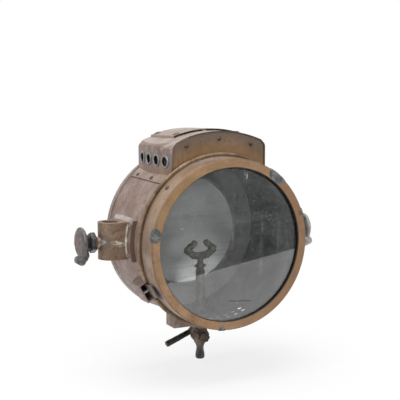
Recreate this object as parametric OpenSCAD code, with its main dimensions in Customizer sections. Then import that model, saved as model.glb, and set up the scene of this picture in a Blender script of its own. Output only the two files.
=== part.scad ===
// Acetylene driving lamp for a fork mounting, in millimetres.
// +Z is up and the glass faces -Y. The origin lies on the drum's axis,
// midway between the two fork sockets. Angles round the drum start at +X
// and run towards +Z, as seen from the front.

/* [Drum] */
// Outside radius of the drum
drum_r = 100; // [85:1:130]
// Sheet thickness of the drum
drum_wall = 1.5; // [1:0.1:3]
// Distance from the fork line forward to the drum's front edge
drum_front = 46; // [40:1:70]
// Distance from the fork line back to the drum's rear edge
drum_back = 58; // [56:1:80]
// Height of the collar bead above the drum
collar_h = 4.6; // [2.2:0.1:5]
// Width of the collar bead
collar_w = 4; // [3:0.1:4.4]
// Sheet thickness of the sleeve that the door closes over
spigot_t = 1.2; // [0.8:0.1:2]
// How far that sleeve stands out of the drum
spigot_reach = 7; // [4:0.5:8]
// Length of that sleeve inside the drum
spigot_seat = 12; // [8:1:13]
// Sheet thickness of the back cover
cover_sheet = 1.5; // [1:0.1:2.5]
// Length of the back cover's skirt on the drum
skirt_l = 4; // [2:0.5:5]
// Rise of the back cover's dome
back_dome_h = 5; // [1:0.5:10]
// Radius of the back cover's dome
back_dome_r = 52; // [40:1:54]
// Radius of the dished air holes in the drum's floor, at their inner edge
air_hole_r = 2.4; // [1:0.1:2.6]
// Number of air holes in a row
air_hole_n = 9; // [3:1:11]
// Angle between neighbouring air holes
air_hole_pitch = 6; // [5:0.5:7]

/* [Door] */
// Depth of the door from its front face to the seam
door_depth = 28; // [25:1:40]
// Gap between the door and the drum's edge
seam_gap = 0.5; // [0.4:0.1:1]
// Sheet thickness of the door's band
door_wall = 1.2; // [0.8:0.1:1.2]
// Width of the ring in front of the glass
ring_w = 10.7; // [6:0.1:16]
// Thickness of the ring
ring_t = 2.5; // [2:0.1:4]
// Radius of the ring's rounded edges
ring_round = 1.6; // [0.5:0.1:1.8]
// Thickness of the glass
glass_t = 3; // [2:0.1:5]
// Thickness of the seal in front of the glass
seal_t = 1; // [0.5:0.1:2]
// Wire diameter of the spring ring behind the glass
spring_d = 2.4; // [1.5:0.1:3]
// Space between the glass edge and the band
glass_play = 1; // [0.5:0.1:1.2]
// Radius of the dome screws on the band
door_screw_r = 3; // [2:0.1:4]
// Angle of the first dome screw
door_screw_angle = 137; // [130:1:141]
// Thickness of the clips bent over the ring
clip_t = 0.8; // [0.5:0.1:1.2]
// Width of the clip beside the catch
clip_w = 11; // [6:0.5:16]

/* [Hinge and catch] */
// Angle of the door's hinge round the drum
hinge_angle = 30; // [25:1:40]
// Height of the hinge pin above the drum
hinge_rise = 6; // [5.5:0.1:7]
// Outside radius of the hinge knuckles
knuckle_r = 3; // [2.6:0.1:3.2]
// Radius of the hinge pin
hinge_pin_r = 1.5; // [1:0.1:1.7]
// Length of the middle knuckle
knuckle_l = 9; // [6:0.5:12]
// Length of each hinge leaf
hinge_leaf_l = 18; // [10:1:18]
// Thickness of the hinge leaves
hinge_leaf_t = 2.2; // [1.5:0.1:2.4]
// Angle of the door catch round the drum
catch_angle = 210; // [205:1:215]
// Width of the catch box
catch_w = 24; // [22:1:30]
// Height of the catch box above the drum
catch_h = 11; // [8:0.5:12]
// Length of the catch box
catch_l = 29; // [26:1:40]
// Length of the catch box's flat top
catch_flat = 23; // [16:1:24]
// Sheet thickness of the catch box
catch_t = 1.5; // [1:0.1:2]
// Width of the door's catch tongue
tongue_w = 17; // [12:1:17]
// Radius of the pin that the tongue snaps over
catch_pin_r = 1.6; // [1:0.1:2]

/* [Hood] */
// Half the hood's width at the middle of its length
hood_half_w = 64.5; // [55:0.5:70]
// How far the side walls bulge between their ends
hood_bulge = 3.5; // [1:0.5:6]
// Height of the roof's crown above the drum at the front
hood_rise = 28.8; // [22:0.1:40]
// Radius of the roof's arch
roof_r = 142; // [115:1:200]
// Slope of the roof towards the back, in degrees
roof_slope = 2.7; // [0:0.1:4]
// Radius of the corner between wall and roof
hood_corner = 7; // [4:0.5:12]
// Sheet thickness of the hood
hood_t = 1.3; // [0.8:0.1:2]
// Width of the hood's foot flange on the drum
foot_w = 14; // [8:0.5:18]
// How far the end plates sit inside the hood's edges
plate_inset = 1; // [0.5:0.1:3]
// Radius of the rivet heads
rivet_r = 2.6; // [1.5:0.1:3.5]
// Height of the rivet heads
rivet_h = 1.6; // [0.8:0.1:2.5]
// Distance of the vent eyelets below the drum's highest line
eyelet_drop = 5.5; // [2:0.5:8]
// Distance between neighbouring eyelets
eyelet_pitch = 21; // [17:0.5:22]
// Outside radius of the eyelet flanges
eyelet_r = 7.4; // [6.4:0.1:8]
// Radius of the eyelet holes
eyelet_hole_r = 4.8; // [3:0.1:5]
// Gap between the roof and the chimney cover
flue_gap = 1.2; // [0.8:0.1:3]
// Sheet thickness of the chimney cover
flue_t = 1.2; // [0.8:0.1:2]
// Half the width of the chimney cover
flue_half_w = 46; // [30:1:50]
// Distance from the fork line forward to the chimney cover's edge
flue_front = 22; // [15:1:33]
// Length of the chimney cover
flue_l = 66; // [40:1:72]

/* [Fork sockets] */
// Radius of the bore that takes the fork prong
socket_r = 9.5; // [6:0.1:10.5]
// Outside radius of the socket
socket_boss_r = 14.5; // [13.5:0.5:18]
// Lower end of the socket
socket_low = -18; // [-30:1:-12]
// Upper end of the socket
socket_high = 25; // [18:1:40]
// Thickness of the saddle plate on the drum
saddle_t = 5; // [3:0.5:7]
// Length of the saddle plate along the drum
saddle_l = 55; // [50:1:70]
// Distance from the fork line back to the saddle's middle
saddle_y = 3; // [0:0.5:5]
// Lower edge of the saddle plate
saddle_low = -20; // [-30:1:-16]
// Upper edge of the saddle plate
saddle_high = 28; // [20:1:44]

/* [Clamp screws] */
// Height of the screws above the drum's axis
screw_z = 2; // [-2:0.5:6]
// Radius of the screw shank
shank_r = 6.4; // [4:0.1:7]
// Radius of the neck that carries the thumb piece
neck_r = 4.5; // [3:0.1:5]
// Distance from the bore to the screw's tip
tip_gap = 0.4; // [0.3:0.1:0.8]
// Length of the left shank outside the socket, up to the lock nut
left_reach = 5; // [4:0.5:10]
// Distance from the right socket to the thumb piece
right_reach = 3.6; // [3.5:0.1:10]
// Corner radius of the lock nut
lock_nut_r = 12; // [9:0.5:14]
// Thickness of the lock nut
lock_nut_t = 7; // [4:0.5:9]
// Distance from the lock nut to the thumb piece
neck_l = 5.5; // [3:0.5:8]
// Radius of the thumb disc
thumb_r = 16.5; // [12:0.5:20]
// Thickness of the thumb disc
thumb_t = 6.5; // [4:0.1:8]
// Radius of the roll at the foot of the thumb piece
thumb_roll_r = 4.6; // [3:0.1:6]
// Length of the roll at the foot of the thumb piece
thumb_roll_l = 15; // [8:0.5:18]

/* [Burner and mirror] */
// Distance of the burner and the cock behind the fork line
burner_y = 7; // [4:0.5:9]
// Radius of the burner's stem
stem_r = 5.5; // [4:0.1:6.5]
// Radius of the gas way
gas_way_r = 1.5; // [1:0.1:2.5]
// Height of the stem's top, from the drum's axis
stem_top = -44; // [-50:1:-36]
// Radius of the burner's collar
burner_collar_r = 6.7; // [5.5:0.1:9]
// Height of the burner's collar piece
burner_collar_h = 13; // [10:0.5:16]
// Half the distance between the burner's elbows
elbow_x = 21.7; // [16:0.1:26]
// Rise of the elbows above the collar piece
elbow_rise = 16; // [12:0.5:20]
// Half the distance between the burner tips
tip_x = 9; // [6:0.5:12]
// Rise of the tips above the elbows
tip_rise = 8.3; // [6:0.1:12]
// Radius of the burner's arms
arm_r = 3.3; // [2.5:0.1:4]
// Radius of the mirror
mirror_r = 68; // [56:1:80]
// Focal length of the mirror
focal_l = 110; // [90:1:160]
// Least gap between the mirror and the back cover's dome
mirror_gap = 1.6; // [1:0.1:12]
// Thickness of the mirror
mirror_t = 3; // [2:0.1:4]
// Thickness of the mirror's rim and brackets
mirror_rim_t = 1.6; // [1:0.1:2]

/* [Base and gas cock] */
// Half the width of the box under the drum
base_half_w = 40.5; // [28:0.5:48]
// Distance from the cock's axis forward to the box's front
base_front = 11.5; // [9:0.5:16]
// Distance from the cock's axis back to the box's rear
base_back = 11.5; // [9:0.5:16]
// Height of the box below the drum's lowest line
base_drop = 10; // [6:0.5:16]
// Sheet thickness of the box
base_t = 1.5; // [1:0.1:2.5]
// Distance from the box down to the plug's axis
plug_drop = 15.6; // [14:0.1:20]
// Radius of the cock's barrel
barrel_r = 9; // [7.5:0.1:11]
// Length of the barrel in front of the cock's axis
barrel_front = 9.5; // [8:0.5:14]
// Length of the barrel behind the cock's axis
barrel_back = 12; // [8:0.5:13]
// Radius of the plug
plug_r = 4; // [3:0.1:5]
// Distance from the cock's axis back to the lever
lever_back = 20.5; // [20:0.5:30]
// Length of the lever
lever_l = 39; // [20:1:45]
// Radius of the lever's rod
lever_r = 3.4; // [2:0.1:4]
// Droop of the lever when shut, in degrees
lever_droop = 23; // [0:1:30]
// Corner radius of the plug nut
plug_nut_r = 6; // [5.6:0.1:8]
// Thickness of the plug nut
plug_nut_t = 4.5; // [3:0.5:9]
// Radius of the nozzle's neck
nozzle_neck_r = 4.2; // [3:0.1:5]
// Radius of the nozzle's end
nozzle_r = 5.3; // [4:0.1:7]
// Length of the nozzle
nozzle_l = 17.5; // [10:0.5:30]
// Length of the nozzle's end
nozzle_end_l = 8; // [5:0.5:8]

/* [Hidden] */
$fn = 144;
fine_fn = 360;
eps = 0.01;
// Clearance between faces that are soldered or seated together
seat_gap = 0.05;
// Radial clearance of a running fit
run_gap = 0.06;
// Clearance between faces that move past each other
move_gap = 0.4;

drum_in = drum_r - drum_wall;
door_r = drum_r;
spigot_out = drum_in - seat_gap;
door_in = door_r - door_wall;
seam_y = -drum_front - seam_gap;
door_front_y = seam_y - door_depth;
ring_back_y = door_front_y + ring_t;
glass_view_r = door_r - ring_w;
glass_r = door_in - glass_play;
glass_front_y = ring_back_y + seal_t;
glass_back_y = glass_front_y + glass_t;
spring_r = door_in - spring_d / 2 - seat_gap;
spring_y = glass_back_y + spring_d / 2 + seat_gap;
door_screw_y = (seam_y + glass_back_y) / 2;
door_screw_h = 2;
door_screw_shank_r = 1.4;
door_screw_inside = 1.5;
door_screw_n = 3;
side_clip_l = 8;
wide_clip_w = 22;
wide_clip_l = 10;
low_clip_w = 7;
low_clip_l = 5;
// Clips bent over the ring: angle, width, and reach over the ring's face
clips = [
    [169.5, clip_w, side_clip_l], [52, wide_clip_w, wide_clip_l],
    [263, low_clip_w, low_clip_l], [20, low_clip_w, low_clip_l]];
clip_side_l = 9;
rim_roll = 0.2;

hinge_r = drum_r + hinge_rise;
knuckle_side_l = knuckle_l / 2;
hinge_w = knuckle_l + 2 * knuckle_side_l + 2 * move_gap;
web_t = 2;
leaf_root = 1;
leaf_y = seam_y + seam_gap / 2;

mouth_y = -drum_front + collar_w + move_gap;
catch_half_a = asin(catch_w / 2 / drum_r);
tongue_half_a = asin(tongue_w / 2 / drum_r);
tongue_lift = 1;
tongue_t = 1.6;
tongue_door_l = 4;
tongue_setback = 1;
tongue_in = 9;
pin_setback = 4;
pin_y = mouth_y + pin_setback;
finger_slot_l = 16;
finger_slot_w = 9;
finger_gap = 1.5;
key_slot_angle = 226.6;
key_slot_l = 9;
key_slot_w = 2.5;
peep_gap = 5.5;
peep_angle = catch_angle - catch_half_a - peep_gap;
peep_setback = 15.6;
peep_y = mouth_y + peep_setback;
peep_r = 1.5;
air_row_inset = 4;
air_dish = 1.5;
air_row_pitch = 10;
air_row_y = -drum_front + spigot_seat + air_row_inset;
air_rows = [air_row_y, air_row_y + air_row_pitch];
air_mid_angle = 270;

collar_gap = 0.2;
skirt_gap = 1;
hood_front = drum_front - collar_w - collar_gap;
hood_back = drum_back - skirt_l - skirt_gap;
hood_crown = drum_r + hood_rise;
hood_len = hood_front + hood_back;
bulge_r = (pow(hood_len / 2, 2) + pow(hood_bulge, 2)) / (2 * hood_bulge);
roof_z = hood_crown - roof_r;
corner_x = hood_half_w - hood_corner;
corner_rise = sqrt(pow(roof_r - hood_corner, 2) - pow(corner_x, 2));
corner = [corner_x, roof_z + corner_rise];
corner_bends = 3;
corner_step = atan2(corner_rise, corner_x) / corner_bends;
hood_over = 10;
foot_angle = acos((hood_half_w - hood_bulge) / drum_r);
foot_span = foot_w / drum_r * 180 / PI;
foot_rivet_inset = 4;
foot_rivet_angle = foot_angle - foot_span + foot_rivet_inset / drum_r * 180 / PI;
foot_rivet_y = -4.5;
foot_nose = 0.6;
foot_tail = 4;
foot_root = 2;
foot_rivet_pitch = 40;
plate_rivet_x = 42;
plate_rivet_share = 0.7;
plate_rivet_r = drum_r + plate_rivet_share * hood_rise;
eyelet_z = drum_r - eyelet_drop;
eyelet_inset = 13.3;
bulge_mid = hood_len / 2 - eyelet_z * sin(roof_slope);
eyelet_flange_t = 1.2;
eyelet_tube_t = 0.8;
eyelet_tube_r = eyelet_hole_r + eyelet_tube_t;
eyelet_fit = 0.2;
eyelet_n = 4;
eyelet_in = 1;
smoke_half_w = 40;
smoke_front = 20;
smoke_l = 50;
vent_half_w = 26;
stud_r = 4.4;
stud_inset = 6.5;
stud_shank_r = 1.5;

saddle_r = drum_r + saddle_t;
socket_x = saddle_r + socket_boss_r;
screw_bore_r = shank_r + run_gap;
boss_x = socket_x + socket_boss_r;
tip_x0 = socket_x + socket_r + tip_gap;
left_nut_x = boss_x + left_reach;
left_neck_x = left_nut_x + lock_nut_t;
left_thumb_x = left_neck_x + neck_l;
right_neck_x = boss_x + tip_gap;
right_thumb_x = boss_x + right_reach;
thumb_cap = 1.5;
neck_seat = thumb_t - thumb_cap;
thumb_web_w = 11;
saddle_rivet_inset = 7;
lock_nut_chamfer = 2.5;

base_z = -drum_r - base_drop;
plug_z = base_z - plug_drop;
collar_z = stem_top + seat_gap;
yoke_z = collar_z + burner_collar_h + seat_gap;
elbow_z = yoke_z + elbow_rise - arm_r;
tip_z = elbow_z + tip_rise;
tip_l = 4.5;
elbow_swell = 0.5;
ball_r = arm_r + elbow_swell;
tip_r = 2.3;
tip_swell = 0.2;
collar_neck_r = 4.3;
mirror_depth = mirror_r * mirror_r / (4 * focal_l);
dome_room = min(back_dome_h, back_dome_r * back_dome_r / (4 * focal_l));
mirror_y = drum_back + dome_room - mirror_gap - mirror_t - mirror_depth;
mirror_steps = 12;
bracket_w = 10;
bracket_foot = 10;
bracket_angles = [90, 210, 330];
rim_lip = 1.8;
nozzle_lead = 2;
nozzle_top_z = plug_z - barrel_r - nozzle_lead;
nozzle_round = 1.2;
nozzle_step = 0.8;
boss_top_r = 7.5;
lever_hub_r = 5.5;
lever_hub_l = 8;
end_cap = 1;

copper = [0.56, 0.46, 0.41];
brass = [0.64, 0.50, 0.34];
olive = [0.43, 0.36, 0.28];
iron = [0.24, 0.22, 0.21];
grey_metal = [0.50, 0.50, 0.50];
steatite = [0.42, 0.41, 0.37];

// Shared shapes

// Stands a child's Z axis along +Y, from the plane at y
module along_y(y = 0) {
    translate([0, y, 0]) rotate([-90, 0, 0]) children();
}

// Turns a child so that its X axis points out of the drum at an angle
module at_angle(a) {
    rotate([0, -a, 0]) children();
}

// Stands a child's Z axis out of the drum, from a given radius
module outward(a, y, r) {
    at_angle(a) translate([r, y, 0]) rotate([0, 90, 0]) children();
}

// Stands a child's Z axis along X, pointing away from the lamp on that side
module sideways(side, x) {
    translate([side * x, 0, screw_z]) rotate([0, side * 90, 0]) children();
}

module tube(r_out, r_in, h) {
    difference() {
        cylinder(r = r_out, h = h);
        translate([0, 0, -eps]) cylinder(r = r_in, h = h + 2 * eps);
    }
}

// Turns a profile of radius and Y round the drum's axis
module turned() {
    rotate([-90, 0, 0]) rotate_extrude() children();
}

// Part of a tube round the drum's axis, between two angles
module curved_strip(r_in, r_out, y0, y1, a0, a1) {
    rotate([90, 0, 0]) rotate([0, 0, a0])
        rotate_extrude(angle = a1 - a0)
            translate([r_in, -y1]) square([r_out - r_in, y1 - y0]);
}

// Spherical cap with its flat side down
module dome(r, h) {
    ball = (r * r + h * h) / (2 * h);
    intersection() {
        translate([0, 0, h - ball]) sphere(r = ball);
        cylinder(r = r, h = h);
    }
}

// Rod between two points
module rod(p, q, r) {
    d = q - p;
    l = norm(d);
    translate(p) rotate([0, acos(d.z / l), atan2(d.y, d.x)]) cylinder(r = r, h = l);
}

// Drum

module drum_shell() {
    color(copper) difference() {
        along_y(-drum_front) tube(drum_r, drum_in, drum_front + drum_back);
        translate([-smoke_half_w, -smoke_front, 0])
            cube([2 * smoke_half_w, smoke_l, drum_r + drum_wall]);
        translate([0, burner_y, -drum_r - drum_wall])
            cylinder(r = stem_r + seat_gap, h = drum_r);
        for (y = air_rows)
            for (k = [0 : air_hole_n - 1])
                outward(
                    air_mid_angle + (k - (air_hole_n - 1) / 2) * air_hole_pitch, y,
                    drum_in - drum_wall) {
                    cylinder(r = air_hole_r, h = 2 * drum_wall);
                    translate([0, 0, drum_wall])
                        cylinder(r1 = air_hole_r, r2 = air_hole_r + 2 * air_dish, h = 2 * drum_wall);
                }
        outward(peep_angle, peep_y, drum_in - drum_wall) cylinder(r = peep_r, h = 3 * drum_wall);
    }
}

module front_collar() {
    color(brass) difference() {
        turned() translate([drum_r + seat_gap, -drum_front]) {
            square([collar_h - collar_w / 2, collar_w]);
            translate([collar_h - collar_w / 2, collar_w / 2]) circle(d = collar_w);
        }
        along_y(-drum_front - collar_w) cylinder(r = drum_r + seat_gap, h = 3 * collar_w);
        curved_strip(
            drum_r - collar_h, drum_r + 2 * collar_h, -drum_front - collar_w, -drum_front + 2 * collar_w,
            catch_angle - catch_half_a, catch_angle + catch_half_a);
        at_angle(hinge_angle)
            translate([drum_r - collar_h, -drum_front - collar_w, -hinge_w / 2 - move_gap])
                cube([3 * collar_h, 3 * collar_w, hinge_w + 2 * move_gap]);
    }
}

module door_spigot() {
    color(copper) along_y(-drum_front - spigot_reach)
        tube(spigot_out, spigot_out - spigot_t, spigot_reach + spigot_seat);
}

module back_cover() {
    rim_r = drum_r + seat_gap + cover_sheet;
    y0 = drum_back + seat_gap;
    y1 = y0 + cover_sheet;
    dome_steps = 10;
    dome_pts = [for (k = [0 : dome_steps])
        let (r = back_dome_r * (dome_steps - k) / dome_steps)
        [r, back_dome_h * (1 - pow(r / back_dome_r, 2))]];
    color(copper) turned() {
        polygon(concat(
            [[rim_r, y1], [rim_r, y0 - skirt_l]],
            [[drum_r + seat_gap, y0 - skirt_l], [drum_r + seat_gap, y0]],
            [for (p = dome_pts) [p.x, y0 + p.y]],
            [for (k = [dome_steps : -1 : 0]) [dome_pts[k].x, y1 + dome_pts[k].y]]));
        translate([rim_r - cover_sheet / 2, y1 - cover_sheet / 2]) circle(r = cover_sheet / 2 + rim_roll);
    }
}

// Hood

// Puts a child in the hood's own frame, which slopes with the roof from the front edge
module on_hood() {
    translate([0, -hood_front, 0]) rotate([-roof_slope, 0, 0]) children();
}

// One side wall and its corner, as a profile round the axis of the wall's bulge
module hood_side(inset) {
    reach = (hood_corner - inset) / cos(corner_step / 2);
    low = corner + reach * [cos(corner_step / 2), sin(corner_step / 2)];
    high = corner + reach * [cos(1.5 * corner_step), sin(1.5 * corner_step)];
    top = high + 2 * hood_half_w * [-sin(2 * corner_step), cos(2 * corner_step)];
    translate([bulge_r - hood_half_w, 0])
        polygon([
            [-1.5 * hood_half_w, 0], [low.x, 0], low, high, top, [-1.5 * hood_half_w, top.y]]);
}

// Solid that fills the hood, drawn in by an inset and run past its ends
module hood_fill(inset, past) {
    intersection() {
        on_hood() {
            intersection() {
                translate([0, -hood_over, roof_z]) rotate([-90, 0, 0])
                    cylinder(r = roof_r - inset, h = hood_len + 3 * hood_over, $fn = fine_fn);
                intersection_for(side = [-1, 1])
                    translate([side * (hood_half_w - bulge_r), bulge_mid, 0])
                        rotate([0, 0, side > 0 ? 0 : 180])
                            rotate_extrude($fn = fine_fn) hood_side(inset);
            }
        }
        translate([-hood_half_w, -hood_front - past, hood_over])
            cube([2 * hood_half_w, hood_len + 2 * past, 2 * hood_crown]);
    }
}

// Puts a child on one side wall at one eyelet, with Z along the wall's normal
module at_eyelet(side, k) {
    back = eyelet_inset + k * eyelet_pitch;
    y = back * cos(roof_slope) - eyelet_z * sin(roof_slope);
    z = back * sin(roof_slope) + eyelet_z * cos(roof_slope);
    lean = asin((y - bulge_mid) / bulge_r);
    wall_x = hood_half_w - bulge_r + bulge_r * cos(lean);
    on_hood() translate([side * wall_x, y, z]) rotate([0, 0, side * lean])
        rotate([0, side * 90, 0]) children();
}

// Feet of the hood on the drum, with room round them
module hood_feet(room) {
    spread = room / drum_r * 180 / PI;
    for (a = [foot_angle - foot_span, 180 - foot_angle - foot_root])
        curved_strip(
            drum_r - hood_t, drum_r + seat_gap + hood_t + room,
            foot_nose - hood_front, hood_back - foot_tail,
            a - spread, a + foot_span + foot_root + spread);
}

module hood_shell() {
    color(copper) difference() {
        union() {
            difference() {
                hood_fill(0, 0);
                hood_fill(hood_t, hood_over);
            }
            hood_feet(0);
        }
        along_y(-2 * hood_front) cylinder(r = drum_r + seat_gap, h = 2 * hood_len);
        for (side = [-1, 1])
            for (k = [0 : eyelet_n - 1])
                at_eyelet(side, k)
                    translate([0, 0, -hood_t - eyelet_in])
                        cylinder(r = eyelet_tube_r + eyelet_fit, h = 2 * hood_t + 2 * eyelet_in);
        translate([-vent_half_w, stud_inset - flue_front + stud_inset, drum_r])
            cube([2 * vent_half_w, flue_l - 4 * stud_inset, roof_r]);
        for (side = [-1, 1])
            for (y = [0, foot_rivet_pitch])
                outward(90 + side * (90 - foot_rivet_angle), foot_rivet_y + y, drum_r)
                    cylinder(r = rivet_r / 2 + seat_gap, h = 2 * hood_t);
    }
}

// End plate of the hood, from the plane at y backwards
module hood_end_plate(y) {
    difference() {
        intersection() {
            hood_fill(hood_t + seat_gap, hood_over);
            translate([-hood_half_w, y, 0]) cube([2 * hood_half_w, hood_t, hood_crown]);
        }
        along_y(-2 * hood_front) cylinder(r = drum_r + seat_gap, h = 2 * hood_len);
        hood_feet(2 * seat_gap);
    }
}

// Puts a child on the front plate at each of its three rivets, with Z to the front
module at_plate_rivets() {
    for (x = [-plate_rivet_x, 0, plate_rivet_x])
        translate([x, plate_inset - hood_front, sqrt(pow(plate_rivet_r, 2) - x * x)])
            rotate([90, 0, 0]) children();
}

module hood_front_plate() {
    color(olive) difference() {
        hood_end_plate(plate_inset - hood_front);
        at_plate_rivets() translate([0, 0, -2 * hood_t])
            cylinder(r = rivet_r / 2 + seat_gap, h = 3 * hood_t);
    }
}

module hood_back_plate() {
    color(copper) hood_end_plate(hood_back - plate_inset - hood_t);
}

// Dome rivet whose head rests on the plane Z = 0
module rivet(shank_l) {
    translate([0, 0, seat_gap]) dome(rivet_r, rivet_h);
    translate([0, 0, -shank_l]) cylinder(r = rivet_r / 2, h = shank_l + 2 * seat_gap);
}

module hood_rivets() {
    color(iron) {
        at_plate_rivets() rivet(2 * hood_t);
        for (side = [-1, 1])
            for (y = [0, foot_rivet_pitch])
                outward(
                    90 + side * (90 - foot_rivet_angle), foot_rivet_y + y,
                    drum_r + seat_gap + hood_t)
                    rivet(hood_t - seat_gap);
    }
}

module vent_eyelets() {
    color(grey_metal)
        for (side = [-1, 1])
            for (k = [0 : eyelet_n - 1])
                at_eyelet(side, k) difference() {
                    union() {
                        translate([0, 0, 2 * seat_gap]) cylinder(r = eyelet_r, h = eyelet_flange_t);
                        translate([0, 0, -hood_t - eyelet_in])
                            cylinder(r = eyelet_tube_r, h = hood_t + eyelet_in + eyelet_flange_t);
                    }
                    translate([0, 0, -hood_t - 2 * eyelet_in])
                        cylinder(r = eyelet_hole_r, h = 2 * (hood_t + eyelet_in + eyelet_flange_t));
                }
}

// Puts a child in the roof's own frame, with its origin on the arch's axis
module on_roof() {
    translate([0, -hood_front, 0]) rotate([-roof_slope, 0, 0])
        translate([0, hood_front - flue_front, roof_z]) children();
}

// Puts a child at each stud of the chimney cover, with Z out of the roof
module at_studs() {
    a = asin((flue_half_w - stud_inset) / roof_r);
    on_roof()
        for (side = [-1, 1])
            for (y = [stud_inset, flue_l - stud_inset])
                rotate([0, side * a, 0]) translate([0, y, roof_r]) children();
}

module chimney_cover() {
    low_r = roof_r + flue_gap;
    color(copper) difference() {
        on_roof() {
            intersection() {
                along_y(0) tube(low_r + flue_t, low_r, flue_l);
                translate([-flue_half_w, 0, 0]) cube([2 * flue_half_w, flue_l, 2 * roof_r]);
            }
            intersection() {
                along_y(0) tube(low_r + flue_t, roof_r + seat_gap, flue_l);
                for (x = [-flue_half_w, flue_half_w - flue_t])
                    translate([x, 0, 0]) cube([flue_t, flue_l, 2 * roof_r]);
            }
        }
        at_studs() cylinder(r = stud_shank_r + seat_gap, h = 3 * (flue_gap + flue_t));
    }
}

module cover_studs() {
    top = flue_gap + flue_t;
    color(olive) at_studs() translate([0, 0, seat_gap]) {
        cylinder(r = stud_r, h = flue_gap - 3 * seat_gap);
        cylinder(r = stud_shank_r, h = top + seat_gap);
        translate([0, 0, top]) dome(stud_r, rivet_h);
    }
}

// Mirror and burner

module mirror_glass() {
    front = [for (k = [0 : mirror_steps])
        let (r = mirror_r * k / mirror_steps)
        [r, mirror_y + mirror_depth - r * r / (4 * focal_l)]];
    back = [for (k = [mirror_steps : -1 : 0]) front[k] + [0, mirror_t]];
    color(grey_metal) turned() polygon(concat(front, back));
}

module mirror_rim() {
    in = mirror_r + seat_gap;
    y0 = mirror_y - seat_gap;
    color(brass) turned() {
        translate([in, y0 - mirror_rim_t]) square([mirror_rim_t, 2 * mirror_rim_t + mirror_t]);
        translate([in - rim_lip, y0 - mirror_rim_t])
            square([rim_lip + mirror_rim_t, mirror_rim_t]);
    }
}

module mirror_brackets() {
    r = mirror_r + mirror_rim_t + 2 * seat_gap;
    y0 = mirror_y - mirror_rim_t;
    color(brass)
        for (a = bracket_angles)
            at_angle(a) translate([r, 0, -bracket_w / 2]) {
                translate([0, y0, 0]) cube([mirror_rim_t, drum_back - y0, bracket_w]);
                translate([0, drum_back - mirror_rim_t, 0]) cube([bracket_foot, mirror_rim_t, bracket_w]);
            }
}

module burner_stem() {
    color(olive) translate([0, burner_y, base_z]) tube(stem_r, gas_way_r, stem_top - base_z);
}

module burner_collar() {
    third = burner_collar_h / 3;
    color(olive) translate([0, burner_y, collar_z]) difference() {
        union() {
            cylinder(r = collar_neck_r, h = burner_collar_h);
            translate([0, 0, third / 2])
                cylinder(r1 = collar_neck_r, r2 = burner_collar_r, h = third);
            translate([0, 0, 1.5 * third])
                cylinder(r1 = burner_collar_r, r2 = collar_neck_r, h = third);
        }
        translate([0, 0, -eps]) cylinder(r = gas_way_r, h = burner_collar_h + 2 * eps);
    }
}

module burner_yoke() {
    foot = [0, burner_y, yoke_z + ball_r];
    color(olive) {
        translate([0, burner_y, yoke_z]) cylinder(r = collar_neck_r, h = arm_r);
        translate(foot) sphere(r = ball_r);
        for (side = [-1, 1]) {
            elbow = [side * elbow_x, burner_y, elbow_z];
            arm_end = [side * tip_x, burner_y, tip_z];
            rod(foot, elbow, arm_r);
            translate(elbow) sphere(r = ball_r);
            rod(elbow, elbow + (arm_end - elbow) * (1 - tip_l / norm(arm_end - elbow)), arm_r);
        }
    }
}

module burner_tips() {
    color(steatite)
        for (side = [-1, 1]) {
            elbow = [side * elbow_x, burner_y, elbow_z];
            arm_end = [side * tip_x, burner_y, tip_z];
            u = (arm_end - elbow) / norm(arm_end - elbow);
            rod(arm_end - u * (tip_l - seat_gap), arm_end, tip_r);
            translate(arm_end) sphere(r = tip_r + tip_swell);
        }
}

// Base box and gas cock

module base_box() {
    w = base_half_w;
    l = base_front + base_back;
    color(copper) difference() {
        translate([-w, burner_y - base_front, base_z]) cube([2 * w, l, drum_r / 2]);
        translate([base_t - w, burner_y - base_front + base_t, base_z + base_t])
            cube([2 * (w - base_t), l - 2 * base_t, drum_r]);
        along_y(-drum_front) cylinder(r = drum_r + seat_gap, h = drum_front + drum_back);
        translate([0, burner_y, base_z - base_t]) cylinder(r = stem_r + seat_gap, h = 3 * base_t);
    }
}

module cock_body() {
    color(iron) translate([0, burner_y, 0]) difference() {
        union() {
            translate([0, 0, plug_z]) cylinder(r = boss_top_r, h = base_z - plug_z);
            along_y(-barrel_front) translate([0, -plug_z, 0])
                cylinder(r = barrel_r, h = barrel_front + barrel_back);
            translate([0, 0, nozzle_top_z])
                cylinder(
                    r1 = nozzle_neck_r + nozzle_step, r2 = barrel_r - nozzle_step,
                    h = plug_z - nozzle_top_z);
        }
        along_y(-2 * barrel_front) translate([0, -plug_z, 0])
            cylinder(r = plug_r + run_gap, h = 3 * (barrel_front + barrel_back));
        translate([0, 0, nozzle_top_z - eps]) cylinder(r = gas_way_r, h = base_z - nozzle_top_z + 2 * eps);
    }
}

module hose_nozzle() {
    low = nozzle_top_z - nozzle_l;
    end_top = low + nozzle_end_l;
    color(iron) translate([0, burner_y, 0]) rotate_extrude() difference() {
        union() {
            translate([0, end_top]) square([nozzle_neck_r, nozzle_top_z - end_top]);
            polygon([
                [0, low], [nozzle_r - nozzle_round, low], [nozzle_r, low + nozzle_round],
                [nozzle_r, end_top], [nozzle_neck_r, end_top + nozzle_round], [0, end_top + nozzle_round]]);
        }
        translate([0, low - eps]) square([gas_way_r, nozzle_l + 2 * eps]);
    }
}

module cock_plug() {
    y0 = -barrel_front - move_gap - plug_nut_t;
    y1 = lever_back + lever_hub_l / 2 - end_cap;
    color(iron) translate([0, burner_y, plug_z]) along_y(y0) cylinder(r = plug_r, h = y1 - y0);
}

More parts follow.
